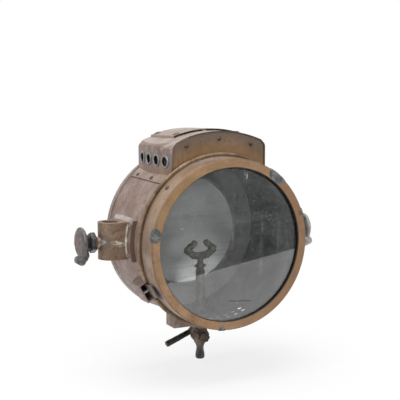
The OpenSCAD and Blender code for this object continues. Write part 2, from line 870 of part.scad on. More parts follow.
module cock_lever() {
    color(iron) translate([0, burner_y + lever_back, plug_z]) difference() {
        union() {
            along_y(-lever_hub_l / 2) cylinder(r = lever_hub_r, h = lever_hub_l);
            rotate([0, -90 - lever_droop, 0]) cylinder(r = lever_r, h = lever_l);
        }
        along_y(-lever_hub_l / 2 - eps)
            cylinder(r = plug_r + seat_gap, h = lever_hub_l - end_cap + seat_gap);
    }
}

module cock_plug_nut() {
    color(iron) translate([0, burner_y - barrel_front - move_gap - plug_nut_t, plug_z])
        along_y(-end_cap) difference() {
            cylinder(r = plug_nut_r, h = plug_nut_t + end_cap, $fn = 6);
            translate([0, 0, end_cap - seat_gap]) cylinder(r = plug_r + seat_gap, h = 2 * plug_nut_t);
        }
}

// Fork sockets

module saddle(side) {
    difference() {
        intersection() {
            along_y(saddle_y - saddle_l / 2) tube(saddle_r, drum_r + seat_gap, saddle_l);
            translate([side > 0 ? 0 : -2 * drum_r, saddle_y - saddle_l / 2, saddle_low])
                cube([2 * drum_r, saddle_l, saddle_high - saddle_low]);
        }
        at_saddle_rivets(side) translate([0, 0, -rivet_h])
            cylinder(r = rivet_r / 2 + seat_gap, h = 3 * rivet_h);
    }
}

// Puts a child at each rivet of one saddle, with Z away from the lamp
module at_saddle_rivets(side) {
    for (y = [-1, 1])
        for (z = [saddle_low + saddle_rivet_inset, saddle_high - saddle_rivet_inset]) {
            a = asin(z / saddle_r);
            outward(
                side > 0 ? a : 180 - a, saddle_y + y * (saddle_l / 2 - saddle_rivet_inset), saddle_r)
                children();
        }
}

module left_saddle() {
    color(copper) saddle(-1);
}

module right_saddle() {
    color(copper) saddle(1);
}

module saddle_rivets() {
    color(copper)
        for (side = [-1, 1])
            at_saddle_rivets(side) rivet(rivet_h / 2);
}

module socket_lug(side) {
    h = socket_high - socket_low;
    difference() {
        translate([0, 0, socket_low]) {
            translate([side * socket_x, 0, 0]) cylinder(r = socket_boss_r, h = h);
            translate([side > 0 ? 0 : -socket_x, -socket_boss_r, 0])
                cube([socket_x, 2 * socket_boss_r, h]);
        }
        along_y(-saddle_l) cylinder(r = saddle_r + seat_gap, h = 2 * saddle_l);
        translate([side * socket_x, 0, socket_low - eps]) cylinder(r = socket_r, h = h + 2 * eps);
        sideways(side, socket_x) cylinder(r = screw_bore_r, h = 2 * socket_boss_r);
    }
}

module left_socket_lug() {
    color(olive) socket_lug(-1);
}

module right_socket_lug() {
    color(olive) socket_lug(1);
}

// Clamp screws

module screw_shank(side, neck_x, thumb_x) {
    sideways(side, tip_x0) {
        cylinder(r = shank_r, h = neck_x - tip_x0);
        cylinder(r = neck_r, h = thumb_x + neck_seat - tip_x0);
    }
}

module thumb_piece(side, x) {
    foot = thumb_r + thumb_roll_r;
    sideways(side, x) difference() {
        union() {
            cylinder(r = thumb_r, h = thumb_t);
            translate([side * foot, thumb_roll_l / 2, thumb_t / 2]) rotate([90, 0, 0])
                cylinder(r = thumb_roll_r, h = thumb_roll_l);
            translate([side > 0 ? 0 : -foot, -thumb_web_w / 2, 0]) cube([foot, thumb_web_w, thumb_t]);
        }
        translate([0, 0, -eps]) cylinder(r = neck_r + run_gap, h = neck_seat + run_gap);
    }
}

module left_screw_shank() {
    color(brass) screw_shank(-1, left_neck_x, left_thumb_x);
}

module left_lock_nut() {
    color(iron) sideways(-1, left_nut_x) difference() {
        intersection() {
            cylinder(r = lock_nut_r, h = lock_nut_t, $fn = 6);
            cylinder(r1 = lock_nut_r + lock_nut_t, r2 = lock_nut_r - lock_nut_chamfer, h = lock_nut_t);
        }
        translate([0, 0, -eps]) cylinder(r = shank_r + run_gap, h = 2 * lock_nut_t);
    }
}

module left_thumb_piece() {
    color(grey_metal) thumb_piece(-1, left_thumb_x);
}

module right_screw_shank() {
    color(brass) screw_shank(1, right_neck_x, right_thumb_x);
}

module right_thumb_piece() {
    color(grey_metal) thumb_piece(1, right_thumb_x);
}

// Catch

// Side view of the catch box, in radius and Y, drawn in by an inset
module catch_wedge(inset, w) {
    at_angle(catch_angle) translate([0, 0, -w / 2]) linear_extrude(w)
        polygon([
            [drum_r / 2, mouth_y - (inset > 0 ? catch_t : 0)],
            [drum_r + catch_h - inset, mouth_y - (inset > 0 ? catch_t : 0)],
            [drum_r + catch_h - inset, mouth_y + catch_flat - inset],
            [drum_r, mouth_y + catch_l - inset],
            [drum_r / 2, mouth_y + catch_l - inset]]);
}

module catch_box() {
    color(copper) difference() {
        catch_wedge(0, catch_w);
        catch_wedge(catch_t, catch_w - 2 * catch_t);
        along_y(-drum_front) cylinder(r = drum_r + seat_gap, h = drum_front + drum_back);
    }
}

module catch_pin() {
    color(grey_metal) outward(catch_angle, pin_y, drum_r + 2 * seat_gap)
        cylinder(r = catch_pin_r, h = catch_h - catch_t - 4 * seat_gap);
}

module catch_tongue() {
    a0 = catch_angle - tongue_half_a;
    a1 = catch_angle + tongue_half_a;
    r = drum_r + tongue_lift;
    color(copper) difference() {
        union() {
            curved_strip(
                r, r + tongue_t, seam_y - tongue_door_l, mouth_y + tongue_in, a0, a1);
            curved_strip(
                door_r + seat_gap, r + tongue_t, seam_y - tongue_door_l, seam_y - tongue_setback, a0, a1);
        }
        outward(catch_angle, pin_y, drum_r / 2) {
            cylinder(r = catch_pin_r + move_gap, h = drum_r);
            translate([-catch_pin_r - move_gap, 0, 0])
                cube([2 * (catch_pin_r + move_gap), 2 * tongue_in, drum_r]);
        }
    }
}

// Hinge

// One hinge leaf: knuckles from a list of [start, length], and a leaf towards +Y or -Y
module hinge_leaf(dir, knuckles, bore_r, seat_r) {
    y = leaf_y;
    web_y = dir > 0 ? y + knuckle_r - web_t : y - knuckle_r;
    at_angle(hinge_angle) difference() {
        union() {
            for (k = knuckles) {
                translate([hinge_r, y, k[0]]) cylinder(r = knuckle_r, h = k[1]);
                translate([seat_r - leaf_root, web_y, k[0]])
                    cube([hinge_r - seat_r + leaf_root, web_t, k[1]]);
            }
            translate([seat_r - leaf_root, web_y + (dir > 0 ? 0 : web_t - hinge_leaf_l), -hinge_w / 2])
                cube([leaf_root + hinge_leaf_t, hinge_leaf_l, hinge_w]);
        }
        translate([hinge_r, y, -hinge_w]) cylinder(r = bore_r, h = 2 * hinge_w);
        along_y(y - 2 * hinge_leaf_l) cylinder(r = seat_r + seat_gap, h = 4 * hinge_leaf_l, $fn = fine_fn);
    }
}

module hinge_body_leaf() {
    color(copper) hinge_leaf(
        1,
        [[-hinge_w / 2, knuckle_side_l], [hinge_w / 2 - knuckle_side_l, knuckle_side_l]],
        hinge_pin_r + seat_gap, drum_r);
}

module hinge_door_leaf() {
    color(copper) hinge_leaf(-1, [[-knuckle_l / 2, knuckle_l]], hinge_pin_r + run_gap, door_r);
}

module hinge_pin() {
    head_h = 1;
    pin_head = 0.8;
    color(brass) at_angle(hinge_angle) translate([hinge_r, leaf_y, 0]) {
        translate([0, 0, -hinge_w / 2 - seat_gap]) cylinder(r = hinge_pin_r, h = hinge_w + 2 * seat_gap);
        translate([0, 0, hinge_w / 2 + seat_gap]) cylinder(r = hinge_pin_r + pin_head, h = head_h);
        translate([0, 0, -hinge_w / 2 - seat_gap - head_h])
            cylinder(r = hinge_pin_r + pin_head, h = head_h);
    }
}

// Door

// Slot with round ends, cut out of the band with its length round the drum
module band_slot(a, y, l, w) {
    at_angle(a) translate([door_in - door_wall, y, 0]) rotate([0, 90, 0]) {
        for (end = [-1, 1])
            translate([end * (l - w) / 2, 0, 0]) cylinder(d = w, h = 3 * door_wall);
        translate([(w - l) / 2, -w / 2, 0]) cube([l - w, w, 3 * door_wall]);
    }
}

module door_band() {
    color(copper) difference() {
        along_y(ring_back_y) tube(door_r, door_in, seam_y - ring_back_y);
        for (k = [0 : door_screw_n - 1])
            outward(door_screw_angle + 360 / door_screw_n * k, door_screw_y, door_in - door_wall)
                cylinder(r = door_screw_shank_r + seat_gap, h = 3 * door_wall);
        band_slot(
            catch_angle, seam_y - tongue_door_l - finger_gap - finger_slot_w / 2,
            finger_slot_l, finger_slot_w);
        band_slot(key_slot_angle, door_screw_y, key_slot_l, key_slot_w);
    }
}

module door_ring() {
    color(brass) turned() {
        translate([glass_view_r + ring_round, door_front_y])
            square([ring_w - 2 * ring_round, ring_t]);
        translate([glass_view_r, door_front_y + ring_round]) square([ring_w, ring_t - ring_round]);
        for (r = [glass_view_r + ring_round, door_r - ring_round])
            translate([r, door_front_y + ring_round]) intersection() {
                circle(r = ring_round);
                translate([-ring_round, -ring_round]) square([2 * ring_round, ring_round + eps]);
            }
    }
}

module glass_seal() {
    color(iron) along_y(ring_back_y) tube(glass_r, glass_view_r + seal_t, seal_t);
}

module front_glass() {
    color([0.8, 0.85, 0.85, 0.4]) along_y(glass_front_y) cylinder(r = glass_r, h = glass_t);
}

module glass_spring_ring() {
    color(brass) turned() translate([spring_r, spring_y]) circle(d = spring_d);
}

module door_screws() {
    color(brass)
        for (k = [0 : door_screw_n - 1])
            outward(door_screw_angle + 360 / door_screw_n * k, door_screw_y, door_r) {
                translate([0, 0, seat_gap]) dome(door_screw_r, door_screw_h);
                translate([0, 0, -door_wall - door_screw_inside])
                    cylinder(r = door_screw_shank_r, h = door_wall + door_screw_inside + 2 * seat_gap);
            }
}

module ring_clips() {
    color(grey_metal)
        for (c = clips) {
            half = c[1] / 2 / door_r * 180 / PI;
            out = door_r + seat_gap + clip_t;
            y0 = door_front_y - seat_gap - clip_t;
            curved_strip(door_r - c[2], out, y0, y0 + clip_t, c[0] - half, c[0] + half);
            curved_strip(out - clip_t, out, y0, y0 + clip_side_l, c[0] - half, c[0] + half);
        }
}

drum_shell();
front_collar();
door_spigot();
back_cover();
hood_shell();
hood_front_plate();
hood_back_plate();
hood_rivets();
vent_eyelets();
chimney_cover();
cover_studs();
mirror_glass();
mirror_rim();
mirror_brackets();
burner_stem();
burner_collar();
burner_yoke();
burner_tips();
base_box();
cock_body();
hose_nozzle();
cock_plug();
cock_lever();
cock_plug_nut();
left_saddle();
right_saddle();
left_socket_lug();
right_socket_lug();
saddle_rivets();
left_screw_shank();
left_lock_nut();
left_thumb_piece();
right_screw_shank();
right_thumb_piece();
catch_box();
catch_pin();
catch_tongue();
hinge_body_leaf();
hinge_door_leaf();
hinge_pin();
door_band();
door_ring();
glass_seal();
front_glass();
glass_spring_ring();
door_screws();
ring_clips();
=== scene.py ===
import math

import bmesh
import bpy
from mathutils import Matrix, Vector, noise


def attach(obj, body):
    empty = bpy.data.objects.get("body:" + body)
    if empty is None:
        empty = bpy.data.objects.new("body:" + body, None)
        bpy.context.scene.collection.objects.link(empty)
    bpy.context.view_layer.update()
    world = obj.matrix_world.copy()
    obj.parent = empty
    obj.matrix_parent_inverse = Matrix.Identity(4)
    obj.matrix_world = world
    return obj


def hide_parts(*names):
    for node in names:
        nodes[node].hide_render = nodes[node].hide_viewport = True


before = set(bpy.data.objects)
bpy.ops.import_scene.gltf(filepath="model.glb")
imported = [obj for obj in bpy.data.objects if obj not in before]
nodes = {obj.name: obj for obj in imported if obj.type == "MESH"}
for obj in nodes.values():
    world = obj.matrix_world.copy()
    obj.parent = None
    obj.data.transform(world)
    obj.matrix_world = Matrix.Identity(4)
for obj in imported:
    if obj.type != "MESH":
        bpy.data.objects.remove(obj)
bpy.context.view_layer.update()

# Sizes and places of the solids that the forms and finishes below share, in millimetres

MM = 0.001
DRUM_R = 100.0
RING_R = 100.0
RING_FACE_Y = -74.5
SADDLE_R = 105.0
SADDLE_TOP_Z = 28.0
LUG_HALF = 14.5
SCREW_Z = 2.0
BURNER_Y = 7.0
PLUG_Z = -125.6
LEVER_Y = 27.5
HOOD_HALF = 64.5
HOOD_MID_Y = 5.6
HOOD_BULGE_R = 322.7
EYELET_COUNT = 4
EYELET_FIRST_Y = -28.5
EYELET_PITCH = 21.0
EYELET_Z = 94.5

AXIS_X = (1.0, 0.0, 0.0)
AXIS_Y = (0.0, 1.0, 0.0)
AXIS_Z = (0.0, 0.0, 1.0)


# Node helpers, in metres

ROUND_EDGE = 0.0006
SPECULAR = 0.4
WHITE = (1.0, 1.0, 1.0, 1.0)

# Ranges of roughness

POLISHED = (0.30, 0.45)
SLICK = (0.32, 0.52)
SATIN = (0.35, 0.52)
WORN = (0.40, 0.58)
PITTED = (0.40, 0.60)
DULL = (0.42, 0.60)
FLAT = (0.45, 0.62)
CHALKY = (0.6, 0.8)


def linear(r, g, b):
    """A colour given as 0-255 sRGB, as the linear RGBA that shaders take."""
    def one(c):
        c /= 255.0
        return c / 12.92 if c <= 0.04045 else ((c + 0.055) / 1.055) ** 2.4
    return (one(r), one(g), one(b), 1.0)


class Tree:
    """Short calls for the nodes of one material. Places are in metres, in the shared frame."""

    def __init__(self, name):
        self.mat = bpy.data.materials.new(name)
        self.mat.use_nodes = True
        self.nt = self.mat.node_tree
        self.nt.nodes.clear()
        self.out = self.add("OutputMaterial")
        self.at = self.add("TexCoord").outputs["Object"]
        self.x, self.y, self.z = self.split(self.at)

    def add(self, kind):
        return self.nt.nodes.new("ShaderNode" + kind)

    def link(self, a, b):
        self.nt.links.new(a, b)

    def put(self, socket, value):
        """Links a socket, or sets it to a number, a 0-255 colour or a linear colour of four numbers."""
        if hasattr(value, "is_output"):
            self.link(value, socket)
        elif isinstance(value, tuple) and len(value) == 3:
            socket.default_value = linear(*value)
        else:
            socket.default_value = value

    def fill(self, node, *values):
        """The first output of a node, with its first sockets linked or set."""
        for socket, value in zip(node.inputs, values):
            self.put(socket, value)
        return node.outputs[0]

    def node(self, kind, **sockets):
        """The first output of a new node, with the named sockets linked or set."""
        n = self.add(kind)
        for name, value in sockets.items():
            self.put(n.inputs[name], value)
        return n.outputs[0]

    def math(self, op, a, b=0.0):
        n = self.add("Math")
        n.operation = op
        return self.fill(n, a, b)

    def times(self, first, *rest):
        for v in rest:
            first = self.math("MULTIPLY", first, v)
        return first

    def total(self, first, *rest):
        for v in rest:
            first = self.math("ADD", first, v)
        return first

    def minus(self, a, b):
        return self.math("SUBTRACT", a, b)

    def size(self, v):
        """The value without its sign."""
        return self.math("ABSOLUTE", v)

    def squares(self, a, b):
        """The sum of two squares."""
        return self.total(self.times(a, a), self.times(b, b))

    def length(self, a, b):
        return self.math("SQRT", self.squares(a, b))

    def radius(self):
        """Distance from the drum's axis."""
        return self.length(self.x, self.z)

    def span(self, v, low, high, to_low=0.0, to_high=1.0):
        """A smooth step from to_low to to_high, as v goes from low to high."""
        n = self.add("MapRange")
        n.interpolation_type = "SMOOTHSTEP"
        return self.fill(n, v, low, high, to_low, to_high)

    def noise(self, scale, detail, rough, at=None, distort=0.0):
        return self.node("TexNoise", Vector=at or self.at, Scale=scale, Detail=detail, Roughness=rough,
                         Distortion=distort)

    def ragged(self, v, amount, scale, detail, rough):
        """The value with noise added, so that the edges drawn from it are uneven."""
        return self.total(v, self.times(self.minus(self.noise(scale, detail, rough), 0.5), amount))

    def stretch(self, x, y, z):
        """The place, scaled along each axis."""
        n = self.add("Mapping")
        self.link(self.at, n.inputs["Vector"])
        n.inputs["Scale"].default_value = (x, y, z)
        return n.outputs[0]

    def vector(self, x, y, z):
        return self.fill(self.add("CombineXYZ"), x, y, z)

    def split(self, vector):
        n = self.add("SeparateXYZ")
        self.link(vector, n.inputs[0])
        return n.outputs

    def mix(self, fac, a, b):
        n = self.add("Mix")
        n.data_type = "RGBA"
        for i, v in ((0, fac), (6, a), (7, b)):
            self.put(n.inputs[i], v)
        return n.outputs[2]

    def paint(self, col, v, low, high, amount, colour):
        """A colour laid over col, from nothing to the amount as v goes from low to high."""
        return self.mix(self.span(v, low, high, 0.0, amount), col, colour)

    def ramp(self, fac, *stops):
        n = self.add("ValToRGB")
        marks = n.color_ramp.elements
        while len(marks) < len(stops):
            marks.new(0.5)
        for mark, (place, colour) in zip(marks, stops):
            mark.position = place
            mark.color = linear(*colour)
        return self.fill(n, fac)

    def blend(self, fac, a, b):
        """One shader over another."""
        return self.fill(self.add("MixShader"), fac, a, b)

    def normal(self):
        return self.add("NewGeometry").outputs["Normal"]

    def bevel(self, radius):
        """The surface's direction, as if its edges were rounded."""
        n = self.add("Bevel")
        n.samples = 4
        return self.fill(n, radius)

    def bump(self, height, distance):
        """The surface's direction, roughened by the height, with its edges rounded."""
        rounded = self.bevel(ROUND_EDGE)
        return self.node("Bump", Strength=1.0, Distance=distance, Height=height, Normal=rounded)

    def edge(self, reach):
        """1 on sharp edges and 0 on flat faces, from the bevelled normal."""
        n = self.add("VectorMath")
        n.operation = "DOT_PRODUCT"
        self.fill(n, self.bevel(reach), self.normal())
        return self.span(n.outputs["Value"], 0.99, 0.80)

    def metal(self, colour, rough, metallic, **more):
        sockets = {"Base Color": colour, "Roughness": rough, "Metallic": metallic}
        sockets["Specular IOR Level"] = SPECULAR
        return self.done(self.node("BsdfPrincipled", **sockets, **more))

    def done(self, shader):
        self.link(shader, self.out.inputs[0])
        return self.mat


def seen_rays(nt):
    """1 for rays from the camera and those that metal or glass send on, and 0 for soft light."""
    path = nt.nodes.new("ShaderNodeLightPath")
    rays = path.outputs["Is Camera Ray"]
    for kind in ("Is Glossy Ray", "Is Transmission Ray"):
        add = nt.nodes.new("ShaderNodeMath")
        add.operation = "ADD"
        add.use_clamp = True
        nt.links.new(rays, add.inputs[0])
        nt.links.new(path.outputs[kind], add.inputs[1])
        rays = add.outputs[0]
    return rays


def patina(name, base, dark, light, metallic, rough, blotch=22.0, grain=420.0, bump=0.00012, speck=None,
           wear=None, wear_reach=0.0008, dent=0.0, tint=None):
    """Tarnished metal: wide blotches, fine grain, dark specks and rubbed edges. rough is a range of
    roughness, blotch and grain are scales of noise, bump, wear_reach and dent are in metres, and tint
    repaints the metal by place."""
    t = Tree(name)
    wide = t.noise(blotch, 5.0, 0.6, distort=0.6)
    mid = t.noise(blotch * 5.5, 5.0, 0.6)
    fine = t.noise(grain, 3.0, 0.6)
    col = t.ramp(wide, (0.36, dark), (0.50, base), (0.64, light))
    col = t.paint(col, mid, 0.44, 0.66, 0.55, dark)
    col = t.paint(col, fine, 0.45, 0.80, 0.30, light)
    if tint:
        col = tint(t, col)
    if speck:
        col = t.paint(col, t.noise(grain * 0.45, 2.0, 0.5), 0.66, 0.74, 0.75, speck)
    if wear:
        col = t.mix(t.times(t.edge(wear_reach), t.span(mid, 0.35, 0.60, 0.15, 0.9)), col, wear)
    height = t.total(t.times(mid, 0.7), t.times(fine, 0.3))
    if dent:
        height = t.total(height, t.times(t.noise(26.0, 1.0, 0.4), dent / bump))
    return t.metal(col, t.span(mid, 0.25, 0.75, *rough), metallic, Normal=t.bump(height, bump))


# Drum, with the radii in metres at which the inside of a shell turns to its outside

DRUM_WALL = (0.09905, 0.09955)
SPIGOT_WALL = (0.0978, 0.0974)
BAND_WALL = (0.0990, 0.0995)


def soot(t, dark, mid, light):
    """Mottled soot of three shades."""
    return t.ramp(t.noise(38.0, 6.0, 0.65, distort=0.8), (0.34, dark), (0.55, mid), (0.74, light))


def painted_light_low_left(t):
    """Where light is painted on the soot inside the drum: low on the left."""
    return t.times(t.span(t.z, -0.02, -0.05), t.span(t.x, 0.02, -0.02, 0.0, 0.8))


def inside(t, col):
    """The drum's inside is sooted grey, with paler mottling, and painted light towards the top and low on
    the left.
    """
    grey = soot(t, (80, 80, 79), (98, 98, 96), (126, 125, 122))
    grey = t.paint(grey, t.noise(260.0, 3.0, 0.6), 0.62, 0.72, 0.25, (196, 196, 194))
    # Painted light: the soot is paler towards the top, which light from the floor reaches.
    grey = t.paint(grey, t.z, 0.02, 0.08, 0.75, (176, 176, 173))
    # Painted light: the soot is paler low on the left.
    grey = t.mix(painted_light_low_left(t), grey, (214, 214, 211))
    return t.mix(t.span(t.radius(), *DRUM_WALL), grey, col)


def drum_tint(t, col):
    """Greyer low down, with brown streaks round the drum."""
    col = t.paint(col, t.z, -0.02, -0.10, 0.55, (140, 126, 121))
    streak = t.noise(60.0, 4.0, 0.6, at=t.stretch(0.35, 1.6, 0.35))
    col = t.paint(col, streak, 0.52, 0.70, 0.35, (122, 100, 86))
    return inside(t, col)


def back_tint(t, col):
    """Copper outside, soot on the face that looks into the drum, with painted light on it low on the left.
    """
    col = t.paint(col, t.noise(14.0, 4.0, 0.6, distort=0.5), 0.52, 0.72, 0.5, (124, 98, 80))
    grey = soot(t, (152, 152, 150), (174, 174, 171), (198, 197, 194))
    # Painted light: the soot is paler low on the left.
    grey = t.mix(painted_light_low_left(t), grey, (228, 228, 225))
    return t.mix(t.span(t.split(t.normal())[1], -0.3, -0.5), col, grey)


def spigot_tint(t, col):
    """The sleeve is painted black outside as shade, where it shows only through the door's slots."""
    return t.mix(t.span(t.radius(), *SPIGOT_WALL), col, inside(t, col))


def bead_tint(t, col):
    """Painted shade in the angle between the bead and the door."""
    corner_shade = t.times(t.span(t.radius(), 0.1030, 0.1018), t.span(t.y, -0.0440, -0.0452), 0.55)
    return t.mix(corner_shade, col, (74, 58, 44))


drum_metal = patina("drum_patina", (140, 119, 109), (120, 95, 82), (156, 138, 129), 0.35, DULL,
                    speck=(92, 76, 66), wear=(190, 176, 164), tint=drum_tint)
back_metal = patina("back_patina", (140, 120, 110), (118, 97, 86), (156, 139, 130), 0.35, DULL,
                    blotch=16.0, speck=(92, 76, 66), wear=(190, 176, 164), tint=back_tint)
# Painted shade: the sleeve is black outside, where it shows through the door's slots.
spigot_metal = patina("spigot_shade_black", (34, 33, 32), (24, 23, 22), (46, 44, 42), 0.0, CHALKY,
                      tint=spigot_tint)
bead_metal = patina("bead_brass", (134, 110, 85), (100, 79, 58), (158, 136, 112), 0.40, SATIN,
                    blotch=40.0, speck=(84, 64, 48), tint=bead_tint)


# Door

def band_tint(t, col):
    """Brown streaks, gold at the upper left, painted shade in a finger hollow and soot inside."""
    turn = t.math("ARCTAN2", t.z, t.x)
    hollow_at, hollow_y, hollow_wide, hollow_deep = math.radians(-150.0), -0.0570, 0.0120, 0.0150
    across = t.times(t.minus(turn, hollow_at), DRUM_R * MM / hollow_wide)
    along = t.times(t.minus(t.y, hollow_y), 1.0 / hollow_deep)
    hollow = t.squares(across, along)
    streak = t.noise(46.0, 4.0, 0.6, at=t.stretch(0.5, 2.4, 0.5))
    col = t.paint(col, streak, 0.50, 0.72, 0.4, (132, 108, 88))
    warm = t.times(t.span(t.z, 0.0, 0.05, 0.0, 0.45), t.span(t.x, -0.02, -0.06))
    col = t.mix(warm, col, (156, 126, 92))
    # Painted shade in the finger hollow beside the catch.
    col = t.paint(col, hollow, 1.25, 0.25, 0.9, (38, 36, 34))
    black = t.ramp(t.noise(60.0, 5.0, 0.65), (0.35, (40, 40, 39)), (0.70, (80, 79, 76)))
    return t.mix(t.span(t.radius(), *BAND_WALL), black, col)


def ring_tint(t, col):
    """Turned brass: lines and coloured patches that run round the ring, dark at its outer edge and with
    painted shade at its inner edge.
    """
    turn = t.math("ARCTAN2", t.z, t.x)
    r = t.radius()
    lines = t.noise(5.0, 5.0, 0.6, at=t.vector(t.times(turn, 1.6), t.times(r, 160.0), 0.0))
    col = t.paint(col, lines, 0.40, 0.66, 0.6, (162, 132, 100))
    col = t.paint(col, t.noise(26.0, 4.0, 0.6), 0.52, 0.68, 0.65, (120, 90, 66))
    col = t.paint(col, t.noise(90.0, 4.0, 0.65), 0.58, 0.72, 0.5, (180, 148, 108))
    col = t.paint(col, t.x, -0.02, 0.09, 0.6, (138, 106, 80))
    arc = t.vector(turn, t.times(r, 30.0), 0.0)
    for scale, detail, low, high, colour in ((13.0, 3.0, 0.55, 0.66, (130, 110, 76)),
                                             (17.0, 3.0, 0.60, 0.70, (140, 106, 92)),
                                             (23.0, 2.0, 0.62, 0.70, (176, 122, 80))):
        col = t.paint(col, t.noise(scale, detail, 0.6, at=arc), low, high, 0.6, colour)
    gold = t.times(t.span(t.x, 0.0, -0.05), t.span(t.z, 0.0, 0.05, 0.0, 0.25))
    col = t.mix(gold, col, (162, 130, 86))
    col = t.paint(col, r, 0.0981, 0.0992, 0.6, (112, 84, 62))
    # Painted shade at the ring's inner edge, where it meets the glass's seat.
    return t.paint(col, r, 0.0903, 0.0898, 0.9, (34, 29, 25))


band_metal = patina("band_patina", (152, 132, 117), (130, 108, 91), (166, 148, 136), 0.35, DULL,
                    speck=(88, 70, 58), wear=(186, 170, 154), tint=band_tint)
ring_metal = patina("ring_brass", (154, 121, 90), (138, 104, 76), (168, 136, 106), 0.35, (0.38, 0.55),
                    blotch=30.0, speck=(100, 76, 58), tint=ring_tint)
clip_metal = patina("clip_lead", (98, 100, 99), (62, 65, 66), (146, 148, 147), 0.40, PITTED,
                    blotch=260.0, grain=900.0, bump=0.0007, speck=(54, 56, 58), wear=(176, 177, 176))
catch_metal = patina("catch_copper", (146, 128, 118), (122, 104, 94), (164, 148, 140), 0.35, DULL,
                     blotch=45.0, speck=(90, 76, 68), wear=(196, 184, 174))
pin_steel = patina("catch_steel", (176, 174, 170), (128, 126, 124), (206, 205, 202), 0.6, POLISHED,
                   blotch=200.0, grain=900.0)
brass_metal = patina("small_brass", (134, 110, 85), (100, 79, 58), (158, 136, 112), 0.40, SATIN,
                     blotch=60.0, speck=(84, 64, 48))
seal_cord = patina("seal_cord", (44, 43, 41), (28, 27, 26), (64, 62, 60), 0.0, (0.75, 0.9),
                   blotch=300.0, grain=1200.0, bump=0.0004)


# Hood

def eyelet_away(t):
    """Distance from the axis of the nearest vent eyelet."""
    first, pitch = EYELET_FIRST_Y * MM, EYELET_PITCH * MM
    step = t.math("MODULO", t.minus(t.y, first - 1.5 * pitch), pitch)
    return t.length(t.minus(step, 0.5 * pitch), t.minus(t.z, EYELET_Z * MM))


def hood_tint(t, col):
    """Browner low down and stained, with solder round the eyelets, a roof painted pale as light from above,
    and an inside painted black as shade. The front rim is pale at the left, as wear and painted highlight,
    with a painted highlight streak behind it, and painted shade along the top."""
    col = t.paint(col, t.z, 0.103, 0.086, 0.85, (130, 102, 82))
    col = t.paint(col, t.noise(34.0, 4.0, 0.6), 0.50, 0.68, 0.55, (158, 120, 94))
    stain = t.noise(48.0, 5.0, 0.65, at=t.stretch(0.7, 1.0, 1.6))
    col = t.paint(col, stain, 0.56, 0.70, 0.50, (104, 84, 74))
    away = t.ragged(eyelet_away(t), 0.006, 150.0, 4.0, 0.6)
    solder = t.times(t.span(away, 0.0112, 0.0088, 0.0, 0.85), t.span(t.size(t.x), 0.056, 0.058))
    col = t.mix(solder, col, (114, 119, 125))
    face_x, _, face_z = t.split(t.normal())
    # Painted light: upward faces of the hood are paler, as if lit from above.
    roof = t.times(t.span(face_z, 0.55, 0.90), t.span(t.noise(40.0, 4.0, 0.6), 0.30, 0.60, 0.35, 0.85))
    col = t.mix(roof, col, (178, 165, 156))
    rim = t.span(t.y, -0.0405, -0.0414)
    # Painted highlight, partly wear: the front rim is paler at the left corner.
    pale = t.times(rim, t.span(t.z, 0.104, 0.112), t.span(t.x, -0.046, -0.054), 0.45)
    col = t.mix(pale, col, (196, 186, 178))
    # Painted shade: the front rim is dark along the top, where it meets the plate.
    dark = t.times(rim, t.span(t.x, -0.046, -0.036), 0.75)
    col = t.mix(dark, col, (66, 54, 46))
    # Painted highlight: a pale streak on the upper left wall behind the front rim, where a dent catches
    # light.
    line = t.total(t.minus(t.z, 0.1175), t.times(t.minus(t.y, -0.041), 0.42))
    painted_streak = t.times(t.span(t.size(line), 0.0034, 0.0006), t.span(t.y, -0.012, -0.026))
    painted_streak = t.times(painted_streak, t.span(t.x, -0.046, -0.052), 0.55)
    col = t.mix(painted_streak, col, (188, 182, 178))
    # Painted shade: faces inside the hood are near black.
    inward = t.span(t.times(face_x, t.x), -0.02, -0.03)
    inner_shade = t.math("MAXIMUM", inward, t.span(face_z, -0.3, -0.5))
    return t.mix(inner_shade, col, (14, 14, 14))


def cover_tint(t, col):
    """The cover is as brown as the roof towards its left end, and its front edge is painted black as shade.
    """
    col = t.paint(col, t.x, -0.018, -0.034, 0.9, (156, 138, 128))
    # Painted shade on the cover's front edge.
    return t.paint(col, t.split(t.normal())[1], -0.4, -0.6, 0.9, (36, 30, 26))


def plate_tint(t, col):
    """Gold by the drum with dark drips, duller above, and darker at the very bottom."""
    r = t.radius()
    col = t.paint(col, r, 0.120, 0.104, 0.75, (142, 110, 70))
    drips = t.noise(70.0, 4.0, 0.65, at=t.stretch(1.5, 1.0, 0.22))
    col = t.paint(col, drips, 0.52, 0.72, 0.5, (104, 86, 66))
    col = t.paint(col, r, 0.113, 0.126, 0.85, (108, 93, 82))
    return t.paint(col, r, 0.1035, 0.1005, 0.7, (80, 60, 42))


def eyelet_tint(t, col):
    """Each eyelet's bore is painted black as shade."""
    return t.mix(t.span(eyelet_away(t), 0.00535, 0.00515), col, (12, 12, 12))


hood_metal = patina("hood_patina", (134, 113, 102), (108, 84, 72), (156, 139, 131), 0.35, WORN,
                    speck=(96, 78, 68), dent=0.0018, tint=hood_tint)
cover_metal = patina("cover_pale", (164, 153, 140), (136, 122, 108), (184, 175, 163), 0.35, WORN,
                     speck=(112, 98, 86), tint=cover_tint)
plate_metal = patina("plate_brass", (124, 100, 77), (106, 85, 65), (140, 116, 91), 0.30, FLAT,
                     blotch=28.0, speck=(78, 62, 48), tint=plate_tint)
eyelet_metal = patina("eyelet_grey", (136, 128, 122), (104, 106, 110), (160, 154, 148), 0.45, PITTED,
                      blotch=90.0, speck=(74, 74, 76), wear=(186, 182, 176), tint=eyelet_tint)
rivet_metal = patina("rivet_dark", (74, 62, 54), (52, 43, 38), (104, 90, 80), 0.45, (0.35, 0.55),
                     blotch=200.0, grain=900.0, wear=(140, 124, 110))


# Sockets and clamp screws

